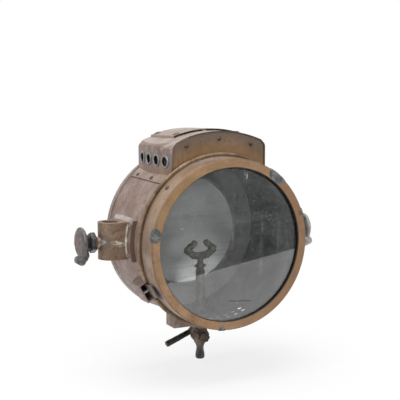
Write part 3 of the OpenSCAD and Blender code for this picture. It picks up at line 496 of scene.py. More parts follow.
def saddle_tint(t, col):
    """Pale along the top, as solder and as painted highlight, which fades to the front, and a brown front
    edge.
    """
    height = t.ragged(t.z, 0.006, 120.0, 4.0, 0.6)
    # Solder and painted highlight along the saddle's top.
    top = t.times(t.span(height, 0.0225, 0.0250, 0.0, 0.95), t.span(t.y, -0.022, -0.008, 0.35, 1.0))
    col = t.mix(top, col, (190, 182, 177))
    return t.paint(col, t.y, -0.0238, -0.0243, 0.95, (112, 92, 78))


def pale_tint(t, col):
    """The pale solder and painted highlight over the saddles are browner towards the front."""
    return t.paint(col, t.y, -0.004, -0.018, 0.8, (146, 126, 112))


def lug_tint(t, col):
    """Rust, darker low down, pale corroded marks across the front of the left lug at half height, and a pale
    spot with a dark edge on its outer face."""
    level = t.total(t.z, t.times(t.minus(t.x, -0.116), 0.30))
    band = t.span(t.size(t.minus(level, 0.0012)), 0.0046, 0.0012)
    left = t.times(t.span(t.x, -0.1262, -0.1225), t.span(t.x, -0.1070, -0.1100))
    marks = t.span(t.noise(330.0, 3.0, 0.6, at=t.stretch(0.6, 1.0, 1.3)), 0.47, 0.56)
    col = t.mix(t.times(band, left, t.span(t.y, -0.010, -0.013), marks), col, (206, 200, 182))
    col = t.paint(col, t.z, -0.008, -0.018, 0.45, (108, 84, 72))
    col = t.paint(col, t.noise(150.0, 4.0, 0.65, distort=0.6), 0.54, 0.66, 0.6, (98, 76, 60))
    near = t.length(t.minus(t.x, -0.1318), t.minus(t.z, 0.0030))
    near = t.ragged(near, 0.006, 260.0, 3.0, 0.6)
    col = t.paint(col, near, 0.0110, 0.0060, 0.55, (86, 80, 76))
    return t.paint(col, near, 0.0038, 0.0016, 0.65, (172, 176, 175))


def screw_tint(t, col):
    """Bright brass by the lug, black on the neck beyond the nut."""
    return t.paint(col, t.size(t.x), 0.1400, 0.1420, 0.95, (46, 44, 44))


def thumb_tint(t, col):
    """Rusty in the middle of the disc and greyer at its rim."""
    away = t.ragged(t.length(t.y, t.minus(t.z, SCREW_Z * MM)), 0.012, 120.0, 4.0, 0.6)
    col = t.paint(col, away, 0.0145, 0.0040, 0.65, (106, 82, 73))
    return t.paint(col, away, 0.0130, 0.0170, 0.22, (134, 134, 134))


saddle_metal = patina("saddle_copper", (142, 122, 110), (120, 98, 84), (158, 140, 130), 0.35, DULL,
                      blotch=40.0, speck=(90, 74, 62), tint=saddle_tint)
saddle_rivet_metal = patina("saddle_rivet", (128, 108, 94), (104, 84, 72), (150, 132, 118), 0.40, WORN,
                            blotch=160.0)
# Pale as solder and as painted highlight from the light above.
pale_metal = patina("saddle_pale", (178, 168, 162), (152, 138, 130), (196, 190, 186), 0.30, (0.38, 0.55),
                    blotch=90.0, grain=700.0, bump=0.0003, speck=(110, 92, 80), tint=pale_tint)
lug_metal = patina("lug_brass", (138, 116, 97), (120, 97, 79), (152, 132, 114), 0.35, DULL,
                   blotch=48.0, speck=(80, 60, 48), wear=(150, 134, 120), tint=lug_tint)
solder_metal = patina("solder", (196, 190, 178), (150, 136, 120), (222, 218, 208), 0.30, PITTED,
                      blotch=120.0, grain=700.0, bump=0.0003)
screw_metal = patina("screw_brass", (186, 156, 132), (150, 120, 98), (206, 186, 168), 0.35, SATIN,
                     blotch=120.0, grain=800.0, tint=screw_tint)
nut_metal = patina("nut_black", (80, 79, 79), (44, 43, 43), (122, 120, 119), 0.55, (0.26, 0.46),
                   blotch=130.0, grain=800.0, wear=(150, 144, 140), wear_reach=0.0009)
thumb_metal = patina("thumb_grey", (98, 91, 88), (70, 60, 56), (132, 129, 128), 0.55, SLICK,
                     blotch=95.0, grain=700.0, bump=0.0004, speck=(66, 50, 44), wear=(172, 170, 168),
                     wear_reach=0.0014, tint=thumb_tint)
# Painted light: a paler copy of the thumb finish, for the right thumb piece, which the light reaches more.
thumb_lit_copy = patina("thumb_lit_copy", (152, 152, 150), (120, 119, 117), (176, 176, 174), 0.45, SLICK,
                    blotch=95.0, grain=700.0, bump=0.0004, speck=(84, 78, 74), wear=(184, 184, 182))
roll_metal = patina("knurl_dark", (90, 87, 86), (56, 54, 53), (128, 125, 124), 0.55, SATIN,
                    blotch=150.0, grain=900.0, wear=(164, 160, 156), wear_reach=0.0004)


# Base, gas cock and burner

base_metal = patina("base_copper", (138, 120, 110), (112, 92, 80), (152, 136, 126), 0.35, DULL,
                    blotch=45.0, speck=(88, 72, 64), wear=(168, 152, 140))
cock_metal = patina("cock_brown", (94, 80, 70), (60, 51, 45), (124, 108, 96), 0.40, WORN,
                    blotch=75.0, grain=600.0, bump=0.0003, speck=(34, 29, 26), wear=(130, 114, 100))
nozzle_metal = patina("nozzle_black", (80, 79, 78), (54, 53, 52), (108, 107, 106), 0.40, SATIN,
                      blotch=90.0, grain=700.0, wear=(104, 102, 100))
lever_metal = patina("lever_black", (60, 55, 51), (34, 31, 29), (92, 85, 80), 0.45, (0.30, 0.50),
                     blotch=90.0, grain=700.0, wear=(120, 116, 112))
burner_metal = patina("burner_olive", (106, 103, 94), (78, 76, 69), (132, 129, 119), 0.20, FLAT,
                      blotch=110.0, grain=700.0)
tip_stone = patina("tip_stone", (136, 133, 124), (92, 90, 83), (164, 161, 152), 0.0, CHALKY,
                   blotch=200.0, grain=900.0)


# Mirror and glass

rim_metal = patina("rim_grey", (168, 167, 164), (140, 139, 136), (190, 189, 186), 0.40, WORN,
                   blotch=90.0)


def make_mirror():
    """Clouded silver with spots and wiping marks, brightest low in the middle, where a highlight is painted.
    """
    t = Tree("mirror_silver")
    cloud = t.noise(30.0, 5.0, 0.6, distort=0.5)
    col = t.ramp(cloud, (0.35, (238, 238, 237)), (0.70, (250, 250, 249)))
    col = t.paint(col, t.noise(120.0, 3.0, 0.5), 0.68, 0.75, 0.6, (112, 112, 110))
    # Painted highlight: the silver keeps its brightest shade round a spot low in the middle.
    away = t.squares(t.minus(t.x, 0.010), t.minus(t.z, -0.040))
    col = t.paint(col, away, 0.0, 0.0036, 1.0, (202, 203, 202))
    col = t.paint(col, t.z, 0.01, 0.06, 0.50, (140, 141, 140))
    col = t.paint(col, t.z, -0.050, -0.064, 0.35, (150, 151, 150))
    brush = t.noise(40.0, 4.0, 0.6, at=t.stretch(0.3, 1.0, 3.0))
    col = t.paint(col, brush, 0.50, 0.68, 0.30, (140, 140, 138))
    rough = t.span(t.noise(50.0, 4.0, 0.6), 0.3, 0.7, 0.30, 0.42)
    return t.metal(col, rough, 0.60)


def pane_dust(t):
    """How much dust lies on the pane: haze, specks, wiping marks, drips and one torn mark near the top."""
    haze = t.span(t.noise(22.0, 5.0, 0.65, distort=0.7), 0.35, 0.75, 0.010, 0.045)
    small = t.span(t.noise(560.0, 2.0, 0.5), 0.60, 0.70, 0.0, 0.27)
    large = t.span(t.noise(340.0, 1.0, 0.5), 0.71, 0.77, 0.0, 0.34)
    specks = t.times(t.total(small, large), t.span(t.noise(16.0, 3.0, 0.6), 0.38, 0.62, 0.35, 1.0))
    wipe = t.span(t.noise(24.0, 5.0, 0.7, at=t.stretch(0.35, 1.0, 2.2)), 0.50, 0.75, 0.0, 0.05)
    drip = t.span(t.noise(55.0, 3.0, 0.6, at=t.stretch(2.4, 1.0, 0.20)), 0.60, 0.76, 0.0, 0.07)
    weft = t.span(t.noise(130.0, 3.0, 0.6, at=t.stretch(2.6, 1.0, 0.5)), 0.50, 0.70, 0.0, 0.030)
    warp = t.span(t.noise(130.0, 3.0, 0.6, at=t.stretch(0.5, 1.0, 2.6)), 0.50, 0.70, 0.0, 0.030)
    dx, dz = t.minus(t.x, 0.0203), t.minus(t.z, 0.0797)
    oval = t.total(t.times(dx, dx, 12.0), t.times(dz, dz))
    torn = t.noise(600.0, 2.0, 0.5, at=t.stretch(1.0, 1.0, 0.4))
    mark = t.times(t.span(oval, 0.000036, 0.000004, 0.0, 0.70), t.span(torn, 0.46, 0.56))
    return t.total(haze, wipe, drip, weft, warp, specks, mark)


def pane_shade_and_streak(t):
    """How dark the pane is: painted shade round its seat at the right, and one dark streak low down."""
    # Painted shade on the pane round its seat at the right.
    seat = t.times(t.span(t.radius(), 0.0866, 0.0888, 0.0, 0.92), t.span(t.x, -0.03, 0.06, 0.12, 1.0))
    line = t.total(t.z, 0.0662, t.times(t.x, 0.087))
    painted_streak = t.times(t.span(t.size(line), 0.0011, 0.0003, 0.0, 0.40), t.span(t.x, -0.004, 0.001),
                    t.span(t.x, 0.030, 0.024))
    return t.math("MAXIMUM", seat, painted_streak)


def make_glass():
    """Old flat pane: clear, with a film of dust, painted shade and a dark streak, and a mirror-like sheen on
    its front face.
    """
    t = Tree("lens_glass")
    dark = pane_shade_and_streak(t)
    clear = t.node("BsdfTransparent", Color=(0.935, 0.942, 0.938, 1.0))
    pane = t.blend(pane_dust(t), clear, t.node("BsdfDiffuse", Color=(190, 192, 192)))
    pane = t.blend(dark, pane, t.node("BsdfDiffuse", Color=(22, 21, 20)))
    outward = t.minus(1.0, t.add("NewGeometry").outputs["Backfacing"])
    front = t.times(t.span(t.y, -0.0690, -0.0700), outward, t.minus(1.0, dark))
    sheen = t.node("BsdfGlossy", Color=WHITE, Roughness=0.015)
    return t.done(t.blend(t.times(t.node("Fresnel", IOR=2.05), front), pane, sheen))


mirror_silver = make_mirror()
lens_glass = make_glass()


# Finishes of the CAD nodes

MATERIALS = {
    "drum_shell": drum_metal, "back_cover": back_metal, "door_spigot": spigot_metal,
    "front_collar": bead_metal, "door_band": band_metal, "door_ring": ring_metal,
    "hood_shell": hood_metal, "hood_front_plate": plate_metal, "hood_back_plate": hood_metal,
    "hood_rivets": rivet_metal, "vent_eyelets": eyelet_metal, "chimney_cover": cover_metal,
    "cover_studs": plate_metal, "mirror_glass": mirror_silver, "mirror_rim": rim_metal,
    "mirror_brackets": rim_metal, "burner_stem": burner_metal, "burner_collar": burner_metal,
    "burner_yoke": burner_metal, "burner_tips": tip_stone, "base_box": base_metal,
    "cock_body": cock_metal, "hose_nozzle": nozzle_metal, "cock_plug": cock_metal,
    "cock_lever": lever_metal, "cock_plug_nut": cock_metal, "left_saddle": saddle_metal,
    "right_saddle": saddle_metal, "left_socket_lug": lug_metal, "right_socket_lug": lug_metal,
    "saddle_rivets": saddle_rivet_metal, "left_screw_shank": screw_metal, "right_screw_shank": screw_metal,
    "left_lock_nut": nut_metal, "left_thumb_piece": thumb_metal, "right_thumb_piece": thumb_metal,
    "catch_box": catch_metal, "catch_pin": pin_steel, "catch_tongue": catch_metal,
    "hinge_body_leaf": catch_metal, "hinge_door_leaf": catch_metal, "hinge_pin": brass_metal,
    "glass_seal": seal_cord, "front_glass": lens_glass, "glass_spring_ring": brass_metal,
    "door_screws": rivet_metal, "ring_clips": clip_metal,
}
for name, mat in MATERIALS.items():
    mesh = nodes[name].data
    mesh.materials.clear()
    mesh.materials.append(mat)
    for poly in mesh.polygons:
        poly.use_smooth = True


# Geometry helpers, in millimetres

def lathe(profile, n):
    """A form turned about local Z from (radius, height) pairs."""
    verts, faces, rings = [], [], []
    for r, h in profile:
        if r == 0.0:
            rings.append([len(verts)])
            verts.append(Vector((0.0, 0.0, h)))
        else:
            rings.append(list(range(len(verts), len(verts) + n)))
            for j in range(n):
                a = 2.0 * math.pi * j / n
                verts.append(Vector((r * math.cos(a), r * math.sin(a), h)))
    for low, high in zip(rings, rings[1:]):
        for j in range(n):
            k = (j + 1) % n
            if len(low) == 1:
                faces.append((low[0], high[j], high[k]))
            elif len(high) == 1:
                faces.append((low[k], low[j], high[0]))
            else:
                faces.append((low[j], high[j], high[k], low[k]))
    return verts, faces


def tube_faces(rows, n):
    """The faces of a closed tube, from rows of n points each."""
    faces = []
    for i in range(rows - 1):
        for j in range(n):
            k = (j + 1) % n
            faces.append((i * n + j, i * n + k, (i + 1) * n + k, (i + 1) * n + j))
    faces.append(tuple(range(n)))
    faces.append(tuple((rows - 1) * n + j for j in reversed(range(n))))
    return faces


def sweep(points, sizes, n=24, square=1.0):
    """A bar through points. sizes are (half width along y, half thickness) pairs, and a square under 1 fills
    the bar's corners."""
    points = [Vector(p) for p in points]
    flat = Vector(AXIS_Y)
    verts = []
    last = len(points) - 1
    for i, p in enumerate(points):
        along = (points[min(i + 1, last)] - points[max(i - 1, 0)]).normalized()
        across = along.cross(flat).normalized()
        for j in range(n):
            c, d = math.cos(2.0 * math.pi * j / n), math.sin(2.0 * math.pi * j / n)
            c, d = math.copysign(abs(c) ** square, c), math.copysign(abs(d) ** square, d)
            verts.append(p + flat * (sizes[i][0] * c) + across * (sizes[i][1] * d))
    return verts, tube_faces(len(points), n)


def placed(form, origin, z, x):
    """The form with its local Z and X turned to the given directions and its origin moved."""
    z, x = Vector(z).normalized(), Vector(x).normalized()
    turn = Matrix((x, z.cross(x), z)).transposed()
    return [turn @ v + Vector(origin) for v in form[0]], form[1]


def joined(*forms):
    verts, faces = [], []
    for v, f in forms:
        base = len(verts)
        verts += v
        faces += [tuple(base + i for i in face) for face in f]
    return verts, faces


def mesh_of(name, form):
    """A mesh, in metres, of a form."""
    me = bpy.data.meshes.new(name)
    me.from_pydata([v * MM for v in form[0]], [], form[1])
    return me


def add_object(name, data):
    ob = bpy.data.objects.new(name, data)
    bpy.context.scene.collection.objects.link(ob)
    return ob


def piece(name, form, mat, body, stands_for=(), sharp=60.0):
    """Makes a visible piece from a form, or from a mesh that is already in metres. Edges of more than sharp
    degrees stay sharp."""
    if isinstance(form, tuple):
        me = mesh_of(name, form)
    else:
        me = form
        me.name = name
    bm = bmesh.new()
    bm.from_mesh(me)
    bmesh.ops.recalc_face_normals(bm, faces=bm.faces)
    bm.to_mesh(me)
    bm.free()
    me.materials.clear()
    me.materials.append(mat)
    me.polygons.foreach_set("use_smooth", [True] * len(me.polygons))
    me.set_sharp_from_angle(angle=math.radians(sharp))
    ob = add_object(name, me)
    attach(ob, body)
    if stands_for:
        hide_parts(*stands_for)


def cast(form, voxel, rounds, rough, scale):
    """Melts overlapping forms into one skin, softens it and gives it a cast, uneven surface."""
    me = mesh_of("cast", form)
    ob = add_object("cast", me)
    skin = ob.modifiers.new("skin", "REMESH")
    skin.mode = "VOXEL"
    skin.voxel_size = voxel * MM
    soft = ob.modifiers.new("soft", "SMOOTH")
    soft.factor = 0.5
    soft.iterations = rounds
    done = bpy.data.meshes.new_from_object(ob.evaluated_get(bpy.context.evaluated_depsgraph_get()))
    bpy.data.objects.remove(ob)
    bpy.data.meshes.remove(me)
    normals = [v.normal.copy() for v in done.vertices]
    for v, normal in zip(done.vertices, normals):
        v.co += normal * (noise.noise(v.co / MM * scale) * rough * MM)
    return done


# Clamp screws

ROLL_AT = Vector((19.8, 0.0, 5.2))
SCREW_TIP_X = 129.4
TAIL_X = (3.0, 8.0, 13.6, 17.2, 20.0)
TAIL_END_Z = 4.6
TAIL_SIZES = ((6.0, 2.4), (7.0, 2.3), (7.6, 3.0), (7.8, 3.6), (7.6, 3.6))
THUMB_DISC = ((0.0, 6.6), (5.0, 6.7), (10.0, 6.9), (14.8, 6.7), (17.2, 5.6), (17.9, 4.0), (17.6, 2.2),
              (15.8, 0.9), (11.0, 0.2), (0.0, 0.0))
THUMB_ROLL = ((0.0, -7.8), (3.6, -7.8), (4.3, -7.0), (4.3, 7.0), (3.6, 7.8), (0.0, 7.8))


def knurled():
    """The roll's grip: a short bar with fine flutes."""
    n, flutes, core = 96, 16, 4.35
    rows = ((-7.4, 0.0), (-7.0, 1.0), (7.0, 1.0), (7.4, 0.0))
    verts = []
    for h, full in rows:
        for j in range(n):
            a = 2.0 * math.pi * j / n
            r = core + full * (0.30 + 0.26 * math.cos(flutes * a))
            verts.append(ROLL_AT + Vector((r * math.cos(a), h, r * math.sin(a))))
    return verts, tube_faces(len(rows), n)


def thumb(side, inner, hub, tilt, tuck, rise):
    """A thumb piece as three forms: the domed disc with a tail that curls into a roll, the cone on its inner
    side, and the roll's grip. tilt turns the tail towards the front. tuck gives the height of the tail's
    bend at four places, which stay clear of the lug when the screw is driven home. rise is how far the disc
    sits off the screw's axis, away from the tail."""
    out = Vector((side, 0.0, 0.0))
    down = Vector((0.0, -math.sin(tilt), -math.cos(tilt)))
    at = Vector((side * inner, 0.0, SCREW_Z))
    disc = placed(lathe(THUMB_DISC, 72), (-rise, 0.0, 0.0), AXIS_Z, AXIS_X)
    bend = [(x, 0.0, z) for x, z in zip(TAIL_X, (*tuck, TAIL_END_Z))]
    tail = sweep(bend, TAIL_SIZES, 32, 0.45)
    roll = placed(lathe(THUMB_ROLL, 40), ROLL_AT, AXIS_Y, AXIS_X)
    cone = lathe(((0.0, 0.6), (9.6, 0.6), (8.8, -0.5 * hub), (7.8, -hub), (0.0, -hub)), 48)
    return [placed(form, at, out, down) for form in (joined(disc, tail, roll), cone, knurled())]


def threaded(side, tip, end, neck_end):
    """The screw: a thread, then a plain neck into the thumb piece."""
    n, step, pitch, lead = 40, 0.25, 1.5, 0.8
    tip_r, root_r, depth, neck_r = 5.2, 5.85, 0.55, 4.5
    count = int(round((end - tip) / step))
    rows = [(tip, tip_r)]
    rows += [(tip + lead + i * (end - tip - lead) / count, None) for i in range(count + 1)]
    rows += [(end + 0.1, neck_r), (neck_end, neck_r)]
    verts = []
    for x, plain in rows:
        for j in range(n):
            a = 2.0 * math.pi * j / n
            crest = abs(((x / pitch + j / n) % 1.0) * 2.0 - 1.0)
            r = plain or root_r + depth * crest
            verts.append(Vector((side * x, r * math.cos(a), SCREW_Z + r * math.sin(a))))
    return verts, tube_faces(len(rows), n)


# The right thumb piece takes paler finishes than the left, as painted light.
for word, side, inner, hub, tilt, tuck, rise, skin, grip_skin in (
        ("left", -1, 151.5, 3.0, 0.0, (0.5, -1.2, -1.5, 0.9), 0.9, thumb_metal, roll_metal),
        ("right", 1, 137.6, 1.2, 0.38, (0.9, 1.0, 1.6, 2.4), -0.8, thumb_lit_copy, pin_steel)):
    body = word + "_thumb"
    disc, cone, grip = thumb(side, inner, hub, tilt, tuck, rise)
    disc = cast(disc, voxel=0.45, rounds=6, rough=0.25, scale=0.25)
    piece(body + "_form", disc, skin, body, (body + "_piece",))
    piece(body + "_cone", cone, nut_metal, body, sharp=50.0)
    piece(body + "_grip", grip, grip_skin, body, sharp=50.0)
for word, side, end, neck_end in (("left", -1, 147.2, 156.4), ("right", 1, 135.9, 142.5)):
    body = word + "_screw"
    screw = threaded(side, SCREW_TIP_X, end, neck_end)
    piece(body + "_form", screw, screw_metal, body, (body + "_shank",))


# Burner

def rod(a, b, ra, rb):
    """A bar between two (x, z) points in the burner's plane."""
    return sweep([(x, BURNER_Y, z) for x, z in (a, b)], ((ra, ra), (rb, rb)), 24, 0.75)


def upright(profile, n):
    """A turned form on the burner's axis."""
    return placed(lathe(profile, n), (0.0, BURNER_Y, 0.0), AXIS_Z, AXIS_X)


BURNER_POST = ((0.0, -31.0), (3.9, -31.0), (3.9, -29.0), (5.4, -26.5), (0.0, -24.0))
BURNER_TIP = ((0.0, -3.0), (3.1, -3.0), (3.6, -2.2), (3.7, 1.6), (3.1, 3.2), (1.3, 3.8), (0.7, 3.4),
              (0.6, 2.4), (0.0, 2.2))
BURNER_COLLAR = ((0.0, -30.9), (3.7, -30.9), (3.6, -34.4), (4.4, -35.8), (4.8, -36.6), (5.8, -37.2),
                 (6.0, -38.2), (5.7, -39.2), (4.9, -39.8), (4.7, -41.2), (4.9, -42.6), (5.4, -43.4),
                 (5.4, -43.9), (0.0, -43.9))
COLLAR_SCREW = ((0.0, 0.0), (1.5, 0.0), (1.7, 0.8), (1.7, 2.2), (1.1, 3.0), (0.0, 3.1))

yoke, tips, collar = [], [], [upright(BURNER_COLLAR, 48)]
for s in (-1, 1):
    yoke.append(rod((-s * 6.0, -26.2), (s * 9.5, -25.0), 4.2, 4.4))
    yoke.append(rod((s * 7.5, -25.8), (s * 19.0, -17.8), 4.4, 4.2))
    yoke.append(rod((s * 19.0, -18.4), (s * 10.6, -11.8), 4.1, 3.7))
    tips.append(placed(lathe(BURNER_TIP, 40), (s * 8.4, BURNER_Y, -10.4), (-s * 0.5, 0.0, 0.85), AXIS_Y))
    collar.append(placed(lathe(COLLAR_SCREW, 24), (s * 4.4, BURNER_Y, -38.2), (s, 0.0, 0.0), AXIS_Y))
yoke.append(upright(BURNER_POST, 32))
yoke = cast(joined(*yoke), voxel=0.4, rounds=3, rough=0.5, scale=0.30)
piece("burner_yoke_form", yoke, burner_metal, "lamp_body", ("burner_yoke",))
piece("burner_tip_forms", joined(*tips), tip_stone, "lamp_body", ("burner_tips",),
      sharp=50.0)
piece("burner_collar_form", joined(*collar), burner_metal, "lamp_body", ("burner_collar",),
      sharp=40.0)


# Gas cock

COCK_VASE = ((0.0, -109.9), (7.7, -109.9), (7.5, -112.5), (7.6, -115.0), (8.8, -118.5), (9.9, -122.5),
             (10.0, -126.0), (9.2, -129.5), (7.4, -133.0), (5.6, -136.5), (5.2, -138.0), (0.0, -138.0))
COCK_BARREL = ((0.0, -2.6), (6.8, -2.6), (8.4, -1.6), (9.2, 1.0), (9.6, 8.0), (9.4, 14.0), (8.6, 18.0),
               (7.4, 19.0), (0.0, 19.0))
HOSE_NOZZLE = ((0.0, -135.0), (5.3, -135.0), (4.9, -138.2), (4.5, -140.6), (4.5, -142.6), (4.9, -145.0),
               (5.5, -148.0), (5.75, -151.0), (5.6, -153.2), (4.8, -154.7), (3.4, -155.0), (2.4, -154.4),
               (2.2, -150.0), (0.0, -150.0))
LEVER_HUB = ((0.0, -4.0), (5.0, -4.0), (5.6, -3.2), (5.6, 3.2), (5.0, 4.0), (0.0, 4.0))
LEVER_LINK = ((0.5, -125.6), (-2.0, -125.4), (-5.0, -125.6), (-9.0, -126.9))
LEVER_ARM = ((-5.5, -126.3), (-20.0, -132.0), (-35.4, -138.0), (-36.6, -138.4))


def on_plug(profile, n, y):
    """A turned form on the cock plug's axis."""
    return placed(lathe(profile, n), (0.0, y, PLUG_Z), AXIS_Y, AXIS_X)


def lever_bar(path, sizes):
    return sweep([(x, LEVER_Y, z) for x, z in path], sizes)


cock = joined(upright(COCK_VASE, 56), on_plug(COCK_BARREL, 48, 0.0))
cock = cast(cock, voxel=0.5, rounds=6, rough=0.6, scale=0.28)
piece("cock_body_form", cock, cock_metal, "lamp_body", ("cock_body",))
piece("hose_nozzle_form", upright(HOSE_NOZZLE, 48), nozzle_metal, "lamp_body", ("hose_nozzle",))
lever = joined(on_plug(LEVER_HUB, 40, LEVER_Y),
               lever_bar(LEVER_LINK, ((3.2, 3.6), (3.0, 3.0), (3.1, 2.9), (3.2, 3.1))),
               lever_bar(LEVER_ARM, ((3.5, 3.5), (3.7, 3.7), (3.95, 3.95), (3.4, 3.4))))
lever = cast(lever, voxel=0.4, rounds=3, rough=0.2, scale=0.3)
piece("cock_lever_form", lever, lever_metal, "gas_cock_plug", ("cock_lever",), sharp=45.0)


# Vent eyelets

EYELET = ((5.9, -0.6), (7.3, -0.5), (7.75, 0.2), (7.5, 0.9), (6.8, 1.4), (6.0, 1.5), (5.4, 1.1), (5.15, 0.4),
          (5.1, -4.0), (5.5, -4.0), (5.9, -0.6))


def eyelet(side, y):
    """A turned-over eyelet, set square to the hood's bulging wall."""
    lean = math.asin((y - HOOD_MID_Y) / HOOD_BULGE_R)
    wall = HOOD_HALF - (y - HOOD_MID_Y) ** 2 / (2.0 * HOOD_BULGE_R)
    out = Vector((side * math.cos(lean), math.sin(lean), 0.0))
    return placed(lathe(EYELET, 48), (side * wall, y, EYELET_Z), out, AXIS_Z)


eyelet_ys = [EYELET_FIRST_Y + EYELET_PITCH * i for i in range(EYELET_COUNT)]
eyelets = joined(*[eyelet(s, y) for s in (-1, 1) for y in eyelet_ys])
piece("vent_eyelet_forms", eyelets, eyelet_metal, "lamp_body", ("vent_eyelets",))


# Ring clips, folded over the door ring

def clip_path(reach, back):
    """A clip's section as (radius, y) points: along the ring's face, round its rim and along its side."""
    rim, steps = 1.6, 10
    path = [(RING_R - reach + (reach - rim) * i / steps, RING_FACE_Y) for i in range(steps + 1)]
    for degrees in range(15, 91, 15):
        a = math.radians(degrees)
        path.append((RING_R - rim + rim * math.sin(a), RING_FACE_Y + rim - rim * math.cos(a)))
    path += [(RING_R, RING_FACE_Y + rim + (back - rim) * i / steps) for i in range(1, steps + 1)]
    return path


def outward(path, i):
    """The direction away from the ring's inside at a point of the path."""
    inside_r, inside_y = 94.0, -70.0
    ahead, behind = path[min(i + 1, len(path) - 1)], path[max(i - 1, 0)]
    dr, dy = ahead[0] - behind[0], ahead[1] - behind[1]
    k = math.hypot(dr, dy)
    nr, ny = -dy / k, dr / k
    if nr * (path[i][0] - inside_r) + ny * (path[i][1] - inside_y) < 0.0:
        return -nr, -ny
    return nr, ny


def clip(angle, half, reach, back, seed):
    """A patch pressed over the ring's rim, with an uneven, rounded outline and a hammered top. angle is its
    place on the ring in degrees, half its half width, reach and back how far it goes over the ring's face
    and along its side, and seed makes its unevenness its own."""
    edge_lift, sunk = 0.02, -0.25
    path = clip_path(reach, back)
    n, m = len(path), 24
    verts = []
    for top in (True, False):
        for i, (r, y) in enumerate(path):
            s = 2.0 * i / (n - 1) - 1.0
            wide = half * max(0.30, (1.0 - abs(s) ** 3.2)) ** 0.5
            nr, ny = outward(path, i)
            for j in range(m + 1):
                t = 2.0 * j / m - 1.0
                uneven = noise.noise(Vector((s * 1.7 + seed, t * 1.5, 0.3)))
                a = math.radians(angle) + t * wide * (1.0 + 0.16 * uneven) / RING_R
                dome = 0.55 * (1.0 - max(abs(t), abs(s)) ** 5)
                hammered = 0.28 * noise.noise(Vector((s * 4.0, t * 3.6, seed)))
                h = dome + hammered + 0.35 if 0 < i < n - 1 and 0 < j < m else edge_lift
                if not top:
                    h = sunk
                verts.append(Vector(((r + nr * h) * math.cos(a), y + ny * h, (r + nr * h) * math.sin(a))))
    w = m + 1
    faces = []
    for i in range(n - 1):
        for j in range(m):
            quad = (i * w + j, i * w + j + 1, (i + 1) * w + j + 1, (i + 1) * w + j)
            faces.append(quad)
            faces.append(tuple(n * w + v for v in reversed(quad)))
    loop = list(range(m))
    loop += [i * w + m for i in range(n - 1)]
    loop += [(n - 1) * w + j for j in range(m, 0, -1)]
    loop += [i * w for i in range(n - 1, 0, -1)]
    for a, b in zip(loop, loop[1:] + loop[:1]):
        faces.append((a, b, n * w + b, n * w + a))
    return verts, faces


lead_clips = joined(
    clip(169.5, half=8.4, reach=9.4, back=8.0, seed=1.3),
    clip(52.6, half=13.2, reach=10.0, back=9.0, seed=4.1),
    clip(263.0, half=4.2, reach=5.0, back=7.0, seed=7.7))
brown_clip = clip(20.0, half=4.4, reach=5.6, back=7.0, seed=2.9)
piece("ring_clip_forms", lead_clips, clip_metal, "front_door", ("ring_clips",))
piece("right_clip_form", brown_clip, saddle_rivet_metal, "front_door")


# Solder along the lugs and over the saddles

def solder_run(side, y_sign):
    """An uneven bead of solder in the corner between lug and saddle."""
    steps, top_z, drop = 32, 24.0, 41.0
    points, sizes = [], []
    for i in range(steps + 1):
        z = top_z - drop * i / steps
        x = math.sqrt(SADDLE_R ** 2 - z * z) + 1.1
        w = noise.noise(Vector((z * 0.21, side * 3.0, y_sign * 5.0)))
        v = noise.noise(Vector((z * 0.6, side * 7.0, y_sign * 2.0)))
        fade = min(1.0, i / 3.0, (steps - i) / 5.0)
        size = 0.25 + (1.35 + 0.7 * w + 0.3 * v) * fade
        points.append((side * (x + 0.25 * v), y_sign * (LUG_HALF + 0.35 + 0.3 * w), z))
        sizes.append((size, size * 0.9))
    return sweep(points, sizes, 14)


def saddle_top(side):
    """The solder slope between the saddle's upper edge and the drum."""
    rows, first_y, length = 24, -24.3, 54.6
    edge_x = math.sqrt((SADDLE_R - 0.1) ** 2 - (SADDLE_TOP_Z - 0.4) ** 2)
    low_x = math.sqrt(DRUM_R ** 2 - (SADDLE_TOP_Z - 0.1) ** 2)
    verts = []
    for i in range(rows + 1):
        y = first_y + length * i / rows
        rise = 0.5 + 0.3 * noise.noise(Vector((y * 0.13, side * 4.0, 1.0)))
        drum_x = math.sqrt(DRUM_R ** 2 - (SADDLE_TOP_Z + rise) ** 2)
        for x, z in ((edge_x, SADDLE_TOP_Z - 0.3),
                     (0.55 * edge_x + 0.45 * drum_x, SADDLE_TOP_Z - 0.4 + 0.55 * rise),
                     (drum_x - 0.3, SADDLE_TOP_Z + rise),
                     (low_x - 0.3, SADDLE_TOP_Z - 0.3)):
            verts.append(Vector((side * x, y, z)))
    return verts, tube_faces(rows + 1, 4)


slopes = joined(saddle_top(-1), saddle_top(1))
piece("saddle_solder", slopes, pale_metal, "lamp_body", sharp=35.0)
runs = [solder_run(s, y) for s in (-1, 1) for y in (-1, 1)]
piece("lug_solder", joined(*runs), solder_metal, "lamp_body")


# Stage, in metres

FLOOR_HALF = 6.0
FLOOR_Z = -0.1665
CARD_NEAR = Vector((0.164, -0.603, -0.1660))
CARD_FAR = Vector((0.540, -0.799, -0.1660))
CARD_HEIGHT = Vector((0.0, 0.0, 0.30))
CARD_BEFORE = 0.75
CARD_BEYOND = 1.6


def sheet(name, corners, mat):
    """A flat sheet that belongs to the stage."""
    me = bpy.data.meshes.new(name)
    me.from_pydata(corners, [], [(0, 1, 2, 3)])
    me.materials.append(mat)
    ob = add_object(name, me)
    return ob


